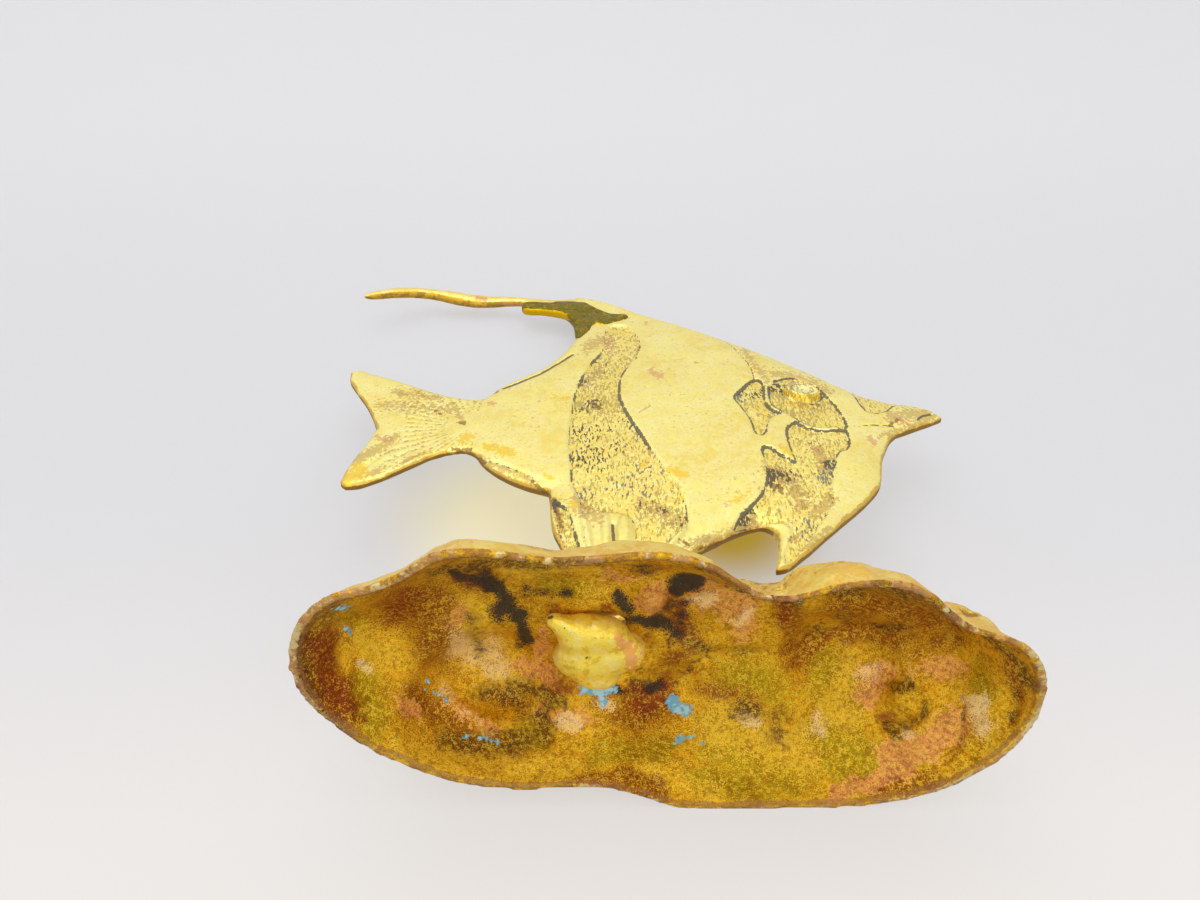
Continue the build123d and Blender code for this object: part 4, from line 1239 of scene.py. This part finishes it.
def lump_mesh():
    """The bright braze lump over the fish's foot, its drops run together."""
    form = bmesh.new()
    for pixel, height, *half_sizes in LUMPS:
        drop = bmesh.ops.create_icosphere(form, subdivisions=4, radius=MM)["verts"]
        bmesh.ops.scale(form, verts=drop, vec=half_sizes)
        bmesh.ops.translate(form, verts=drop, vec=pixel_place(pixel, height) * MM)
    mesh = remeshed(form, "base_braze", LUMP_VOXEL)
    relaxed(mesh, np.ones(len(mesh.vertices), bool), LUMP_ROUNDS)
    points = points_of(mesh)
    points = points + normals_of(mesh) * swelling(points, LUMP_ROUGH)[:, None]
    place_points(mesh, points)
    photo = photo_place(points)
    warp = swelling(points, LUMP_WARP)
    # Where the braze glints, for its painted dark reflection
    glint = stroke_mask(photo, LUMP_GLINT_MARKS, warp * 0.2)
    paint(mesh, salmon=stroke_mask(photo, LUMP_SALMON, warp), glint=glint)
    return mesh


def shade(colour):
    """A colour in bytes, turned to the linear values that shaders use."""
    return tuple(((byte / 255 + 0.055) / 1.055) ** 2.4 for byte in colour) + (1.0,)


def filled(tree, node, inputs):
    """A node whose inputs now follow sockets or hold values."""
    for name, value in inputs.items():
        if isinstance(value, bpy.types.NodeSocket):
            tree.links.new(value, node.inputs[name])
        else:
            node.inputs[name].default_value = value
    return node


def add(tree, kind, inputs, **settings):
    """A new shader node with its inputs and settings."""
    node = tree.nodes.new("ShaderNode" + kind)
    for name, value in settings.items():
        setattr(node, name, value)
    return filled(tree, node, inputs)


def place_group(tree, group, inputs):
    """A shared effect placed in a material with its own values."""
    node = tree.nodes.new("ShaderNodeGroup")
    node.node_tree = group
    return filled(tree, node, inputs).outputs


def sums(tree, operation, *values, clamp=False):
    """One sum on sockets or numbers."""
    inputs = dict(enumerate(values))
    return add(tree, "Math", inputs, operation=operation, use_clamp=clamp).outputs[0]


def eased(tree, value, low, high):
    """Rises softly from 0 at low to 1 at high."""
    inputs = {"Value": value, "From Min": low, "From Max": high}
    return add(tree, "MapRange", inputs, interpolation_type="SMOOTHSTEP").outputs["Result"]


def blended(tree, share, under, over):
    """Two colours mixed by a share."""
    return add(tree, "Mix", {0: share, 6: under, 7: over}, data_type="RGBA").outputs[2]


def painted(tree, name):
    """The numbers that were painted on the mesh under a name."""
    return add(tree, "Attribute", {}, attribute_name=name).outputs["Fac"]


def own_place(tree):
    """Places on the object itself, in metres."""
    return add(tree, "TexCoord", {}).outputs["Object"]


def new_group(name, inputs, outputs):
    """An empty shared effect with its named inputs and outputs."""
    group = bpy.data.node_groups.new(name, "ShaderNodeTree")
    for label, value in inputs.items():
        kind = "NodeSocketFloat" if isinstance(value, float) else "NodeSocketColor"
        group.interface.new_socket(label, in_out="INPUT", socket_type=kind).default_value = value
    for label, kind in outputs.items():
        group.interface.new_socket(label, in_out="OUTPUT", socket_type="NodeSocket" + kind)
    given = group.nodes.new("NodeGroupInput").outputs
    return group, given, group.nodes.new("NodeGroupOutput").inputs


def even_noise(tree, place, size, looks):
    """Noise of a size in mm, spread evenly from 0 to 1."""
    scale = sums(tree, "DIVIDE", 1.0 / MM, size)
    noise = add(tree, "TexNoise", {"Vector": place, "Scale": scale, **looks}).outputs["Fac"]
    return add(tree, "MapRange", {"Value": noise, "From Min": 0.3, "From Max": 0.7}).outputs[0]


def grain_group():
    """Grains of a size in mm, as an even spread of numbers from 0 to 1."""
    group, given, made = new_group("grain", {"Size": 1.0, "Detail": 3.0}, {"Value": "Float"})
    looks = {"Detail": given["Detail"], "Roughness": 0.6}
    group.links.new(even_noise(group, own_place(group), given["Size"], looks), made["Value"])
    return group


def patina_group():
    """One coloured film over another, broken up by grains where its painted mask fades."""
    grey = (0.5, 0.5, 0.5, 1.0)
    inputs = {"Under": grey, "Over": grey, "Mask": 0.0, "Grain": 0.5, "Bite": 0.8, "Strength": 1.0}
    group, given, made = new_group("patina_film", inputs, {"Colour": "Color", "Cover": "Float"})
    swing = sums(group, "MULTIPLY", sums(group, "SUBTRACT", given["Grain"], 0.5), given["Bite"])
    broken = eased(group, sums(group, "ADD", given["Mask"], swing), 0.38, 0.62)
    cover = sums(group, "MULTIPLY", broken, given["Strength"], clamp=True)
    group.links.new(blended(group, cover, given["Under"], given["Over"]), made["Colour"])
    group.links.new(cover, made["Cover"])
    return group


def dash_group():
    """Short dark dashes left in a stippled ground, covering about the density's share of it."""
    inputs = {"Size": 1.2, "Density": 0.5}
    group, given, made = new_group("stipple_dashes", inputs, {"Mask": "Float"})
    inputs = {"Vector": own_place(group), "Rotation": DASH_TURN, "Scale": DASH_STRETCH}
    turned = add(group, "Mapping", inputs).outputs[0]
    looks = {"Detail": 1.5, "Roughness": 0.5, "Distortion": 0.6}
    spread = even_noise(group, turned, given["Size"], looks)
    bare = sums(group, "SUBTRACT", 1.0, given["Density"])
    mask = eased(group, sums(group, "SUBTRACT", spread, bare), *DASH_SOFT)
    group.links.new(mask, made["Mask"])
    return group


def line_group():
    """A dark line that follows a painted distance, uneven in width."""
    inputs = {"Distance": 1.0, "Width": 0.5, "Strength": 1.0, "Grain": 0.5}
    group, given, made = new_group("filled_line", inputs, {"Mask": "Float"})
    uneven = sums(group, "MULTIPLY_ADD", given["Grain"], 0.6, 0.5)
    ragged = sums(group, "MULTIPLY", given["Width"], uneven)
    wide = sums(group, "MULTIPLY", ragged, given["Strength"])
    mask = eased(group, sums(group, "SUBTRACT", wide, given["Distance"]), -0.2, 0.22)
    group.links.new(mask, made["Mask"])
    return group


def new_metal(name, plain, grains):
    """A material with its plain metallic and roughness, its shader, and its grains by name."""
    material = bpy.data.materials.new(name)
    material.use_nodes = True
    tree = material.node_tree
    shader = tree.nodes["Principled BSDF"]
    filled(tree, shader, dict(zip(("Metallic", "Roughness"), plain)))
    masks = {}
    for label, (size, detail) in grains.items():
        masks[label] = place_group(tree, GRAIN, {"Size": size, "Detail": detail})["Value"]
    return material, tree, shader, masks


def mask_product(tree, masks, first, second):
    """Two masks multiplied, each a grain or painted on the mesh."""
    pair = [masks[name] if name in masks else painted(tree, name) for name in (first, second)]
    return sums(tree, "MULTIPLY", *pair)


def stacked(tree, colour, films, masks):
    """Films laid one on another, and the cover of those that dull the metal."""
    dull = 0.0
    for over, name, grains, bite, strength, dulls, *change in films:
        mask = masks[name] if name in masks else painted(tree, name)
        if change:
            mask = sums(tree, "MULTIPLY_ADD", mask, *change)
        inputs = {"Under": colour, "Over": shade(over), "Mask": mask, "Grain": masks[grains]}
        colour, cover = place_group(tree, PATINA, {**inputs, "Bite": bite, "Strength": strength})
        dull = sums(tree, "MAXIMUM", dull, sums(tree, "MULTIPLY", cover, dulls))
    return colour, dull


def finished(tree, shader, colour, dull, finish, masks):
    """Leads the colour, the dulled metal and the fine relief into the shader."""
    metallic, roughness, depth, relief = finish
    height = 0.0
    for name, share in relief.items():
        height = sums(tree, "MULTIPLY_ADD", masks[name], share, height)
    bump = add(tree, "Bump", {"Strength": 0.6, "Distance": depth * MM, "Height": height})
    kept = sums(tree, "SUBTRACT", 1.0, dull)
    inputs = {
        "Base Color": colour,
        "Metallic": sums(tree, "MULTIPLY", kept, metallic),
        "Roughness": sums(tree, "MULTIPLY_ADD", dull, 0.3, roughness),
        "Normal": bump.outputs[0],
    }
    filled(tree, shader, inputs)


def fish_brass():
    """Pale polished brass, dark in its stippled markings and brown along its edges, with painted
    shade where they face down.
    """
    material, tree, shader, masks = new_metal("fish_brass", (0.75, 0.4), FISH_GRAINS)
    depth = sums(tree, "MULTIPLY_ADD", painted(tree, "marks"), 2 * MARK_REACH, -MARK_REACH)
    masks["within"] = eased(tree, depth, *DASH_START)
    inputs = {"Size": DASH_SIZE, "Density": painted(tree, "dash_share")}
    dashes = place_group(tree, DASHES, inputs)["Mask"]
    masks["dashed"] = sums(tree, "MULTIPLY", dashes, masks["within"])
    masks["inked"] = mask_product(tree, masks, "dashed", "ink")
    masks["slated"] = mask_product(tree, masks, "dashed", "slate")
    lines = []
    rim_dark = painted(tree, "rim_dark")
    for name, width, strength in (("rims", RIM_WIDTH, rim_dark), ("cuts", CUT_WIDTH, CUT_DARK)):
        distance = sums(tree, "MULTIPLY", painted(tree, name), MARK_REACH)
        inputs = {"Distance": distance, "Width": width, "Strength": strength}
        lines.append(place_group(tree, LINE, {**inputs, "Grain": masks["fine"]})["Mask"])
    masks["lines"] = sums(tree, "MAXIMUM", *lines)
    colour, dull = stacked(tree, shade(PALE_GOLD), FISH_FILMS, masks)
    finished(tree, shader, colour, dull, FISH_FINISH, masks)
    return material


def rock_brass():
    """Cast brass: pale and rubbed outside, stained and grainy in its hollow, rosy along its rim."""
    material, tree, shader, masks = new_metal("rock_brass", (0.7, 0.45), ROCK_GRAINS)
    masks["sparks"] = sums(tree, "MULTIPLY_ADD", painted(tree, "red"), -0.15, masks["dust"])
    masks["verdigris_mid"] = mask_product(tree, masks, "verdigris", "mid")
    masks["rim_wide"] = mask_product(tree, masks, "rim", "wide")
    hollow, hollow_dull = stacked(tree, shade(HOLLOW_GOLD), HOLLOW_FILMS, masks)
    outer, outer_dull = stacked(tree, shade(STONE_GOLD), OUTER_FILMS, masks)
    inner = painted(tree, "inner")
    dull = add(tree, "Mix", {0: inner, 2: outer_dull, 3: hollow_dull}).outputs[0]
    colour, _ = stacked(tree, blended(tree, inner, outer, hollow), RIM_FILMS, masks)
    finished(tree, shader, colour, dull, ROCK_FINISH, masks)
    return material


def small_metal(name, plain, grains, base, films, finish):
    """The brass of a small piece, under one stack of films."""
    material, tree, shader, masks = new_metal(name, plain, grains)
    # The underside broken by cloud, for the streamer's painted shade
    masks["under_cloud"] = mask_product(tree, masks, "under", "cloud")
    colour, dull = stacked(tree, shade(base), films, masks)
    finished(tree, shader, colour, dull, finish, masks)
    return material


def streamer_brass():
    """Pale gold above; deep gold and rosy below, where the deep gold and umber are painted shade;
    with soft stains.
    """
    looks = (STREAMER_GRAINS, STREAMER_GOLD, STREAMER_FILMS, STREAMER_FINISH)
    return small_metal("streamer_brass", (0.75, 0.4), *looks)


def olive_braze():
    """Dull olive braze with darker crusts, golden specks here and there, and a painted golden
    highlight along its underside.
    """
    looks = (OLIVE_GRAINS, OLIVE, OLIVE_FILMS, OLIVE_FINISH)
    return small_metal("olive_braze", (0.45, 0.5), *looks)


def lump_braze():
    """Bright yellow braze, rosy on one side, with a few dark specks that are a painted reflection
    in its glints.
    """
    looks = (LUMP_GRAINS, LUMP_GOLD, LUMP_FILMS, LUMP_FINISH)
    return small_metal("lump_braze", (0.7, 0.42), *looks)


def build_pieces():
    """All the visible pieces of the ornament."""
    new_piece("fish", fish_mesh(), "fish_casting", fish_brass())
    new_piece("rock", rock_mesh(), "rock_base", rock_brass())
    new_piece("streamer", streamer_mesh(), "dorsal_streamer", streamer_brass())
    new_piece("joint_braze", olive_mesh(), "streamer_braze", olive_braze())
    new_piece("foot_braze", lump_mesh(), "base_braze", lump_braze())


def sheet(name, low, high, material):
    """A wide flat piece of the stage between two lines along x, each at its y and z in mm."""
    ends = [(-STAGE_REACH, *low), (STAGE_REACH, *low), (STAGE_REACH, *high), (-STAGE_REACH, *high)]
    form = bmesh.new()
    form.faces.new([form.verts.new([c * MM for c in end]) for end in ends])
    mesh = bpy.data.meshes.new(name)
    form.to_mesh(mesh)
    form.free()
    mesh.materials.append(material)
    piece = bpy.data.objects.new(name, mesh)
    bpy.context.scene.collection.objects.link(piece)


def clear_material(name):
    """A see-through sheet, which only counts as a surface that a ray has passed."""
    material = bpy.data.materials.new(name)
    material.use_nodes = True
    tree = material.node_tree
    tree.nodes.clear()
    clear = add(tree, "BsdfTransparent", {})
    add(tree, "OutputMaterial", {"Surface": clear.outputs[0]})
    return material


def cast_light(tree, tint, place, reach, colour, strength):
    """The warm light that the brass throws on the table round one place, along and up."""
    centre = (-place[0] * MM, 0.0, -place[1] * MM)
    moved = add(tree, "VectorMath", {0: own_place(tree), 1: centre}, operation="ADD").outputs[0]
    scale = (1.0 / (reach[0] * MM), 0.0, 1.0 / (reach[1] * MM))
    flat = add(tree, "VectorMath", {0: moved, 1: scale}, operation="MULTIPLY").outputs[0]
    away = add(tree, "VectorMath", {0: flat}, operation="LENGTH").outputs["Value"]
    near = eased(tree, sums(tree, "SUBTRACT", 1.0, away), 0.0, 0.8)
    return blended(tree, sums(tree, "MULTIPLY", near, strength), tint, shade(colour))


def stage_material(name, behind):
    """Matt and pale to the camera from its front only; with `behind` only past a clear sheet."""
    material = clear_material(name)
    tree = material.node_tree
    height = add(tree, "SeparateXYZ", {0: own_place(tree)}).outputs["Z"]
    tint = blended(tree, eased(tree, height, *NEAR_BAND), shade(WARM_TABLE), shade(STAGE_COLOUR))
    tint = blended(tree, eased(tree, height, *FAR_BAND), tint, shade(FAR_COLOUR))
    for cast in CASTS if behind else ():
        tint = cast_light(tree, tint, *cast)
    plain = add(tree, "Emission", {"Color": tint})
    soft = add(tree, "BsdfDiffuse", {"Color": tint})
    matt = add(tree, "MixShader", {0: SHADOW_SHARE, 1: plain.outputs[0], 2: soft.outputs[0]})
    path = add(tree, "LightPath", {}).outputs
    back = add(tree, "NewGeometry", {}).outputs["Backfacing"]
    share = sums(tree, "SUBTRACT", path["Is Camera Ray"], back, clamp=True)
    if behind:
        share = sums(tree, "MULTIPLY", share, path["Transparent Depth"], clamp=True)
    clear = tree.nodes["Transparent BSDF"]
    mix = add(tree, "MixShader", {0: share, 1: clear.outputs[0], 2: matt.outputs[0]})
    tree.links.new(mix.outputs[0], tree.nodes["Material Output"].inputs["Surface"])
    return material


def build_stage():
    """Floor under the rim, table behind the lying fish, and the clear sheet below them."""
    sheet("floor", (-STAGE_REACH, 0), (STAGE_REACH, 0), stage_material("floor", False))
    slope = (TABLE_FAR[0] - TABLE_TOUCH[0]) / (TABLE_FAR[1] - TABLE_TOUCH[1])
    low, high = [(TABLE_TOUCH[0] + slope * end, end) for end in TABLE_ENDS]
    sheet("table", low, high, stage_material("table", True))
    low, high = (-STAGE_REACH, CLEAR_HEIGHT), (STAGE_REACH, CLEAR_HEIGHT)
    sheet("clear", low, high, clear_material("clear"))


def area_light(name, place, target, size, power):
    """A soft square lamp aimed at a point, sizes in mm and power in watts."""
    lamp = bpy.data.lights.new(name, "AREA")
    lamp.size = size * MM
    lamp.energy = power
    lit = bpy.data.objects.new(name, lamp)
    bpy.context.scene.collection.objects.link(lit)
    lit.location = Vector(place) * MM
    lit.rotation_euler = (Vector(target) - Vector(place)).to_track_quat("-Z", "Y").to_euler()


def build_light():
    """An even pale room, brighter in front, and two large soft lamps on the shown side."""
    world = bpy.data.worlds.new("room")
    bpy.context.scene.world = world
    world.use_nodes = True
    tree = world.node_tree
    tree.nodes.clear()
    way = add(tree, "SeparateXYZ", {0: add(tree, "TexCoord", {}).outputs["Generated"]}).outputs["Y"]
    ends = {"From Min": -1.0, "From Max": 1.0, "To Min": ROOM_FRONT, "To Max": ROOM_BACK}
    power = add(tree, "MapRange", {"Value": way, **ends}).outputs["Result"]
    lit = add(tree, "Background", {"Color": ROOM_COLOUR, "Strength": power})
    seen = add(tree, "Background", {"Color": shade(WORLD_COLOUR)})
    camera_ray = add(tree, "LightPath", {}).outputs["Is Camera Ray"]
    mix = add(tree, "MixShader", {0: camera_ray, 1: lit.outputs[0], 2: seen.outputs[0]})
    add(tree, "OutputWorld", {"Surface": mix.outputs[0]})
    for lamp in LAMPS:
        area_light(*lamp)


def build_camera():
    """The camera at the photograph's place."""
    data = bpy.data.cameras.new("camera")
    data.sensor_width = CAMERA_SENSOR
    data.lens = CAMERA_LENS
    data.clip_start, data.clip_end = CAMERA_CLIP
    camera = bpy.data.objects.new("camera", data)
    camera.location = [c * MM for c in CAMERA_PLACE]
    camera.rotation_euler = (CAMERA_TURN, 0.0, 0.0)
    bpy.context.scene.collection.objects.link(camera)
    bpy.context.scene.camera = camera


GRAIN = grain_group()
PATINA = patina_group()
DASHES = dash_group()
LINE = line_group()
build_camera()
build_light()
build_stage()
build_pieces()
bpy.context.scene.view_settings.view_transform = "Standard"
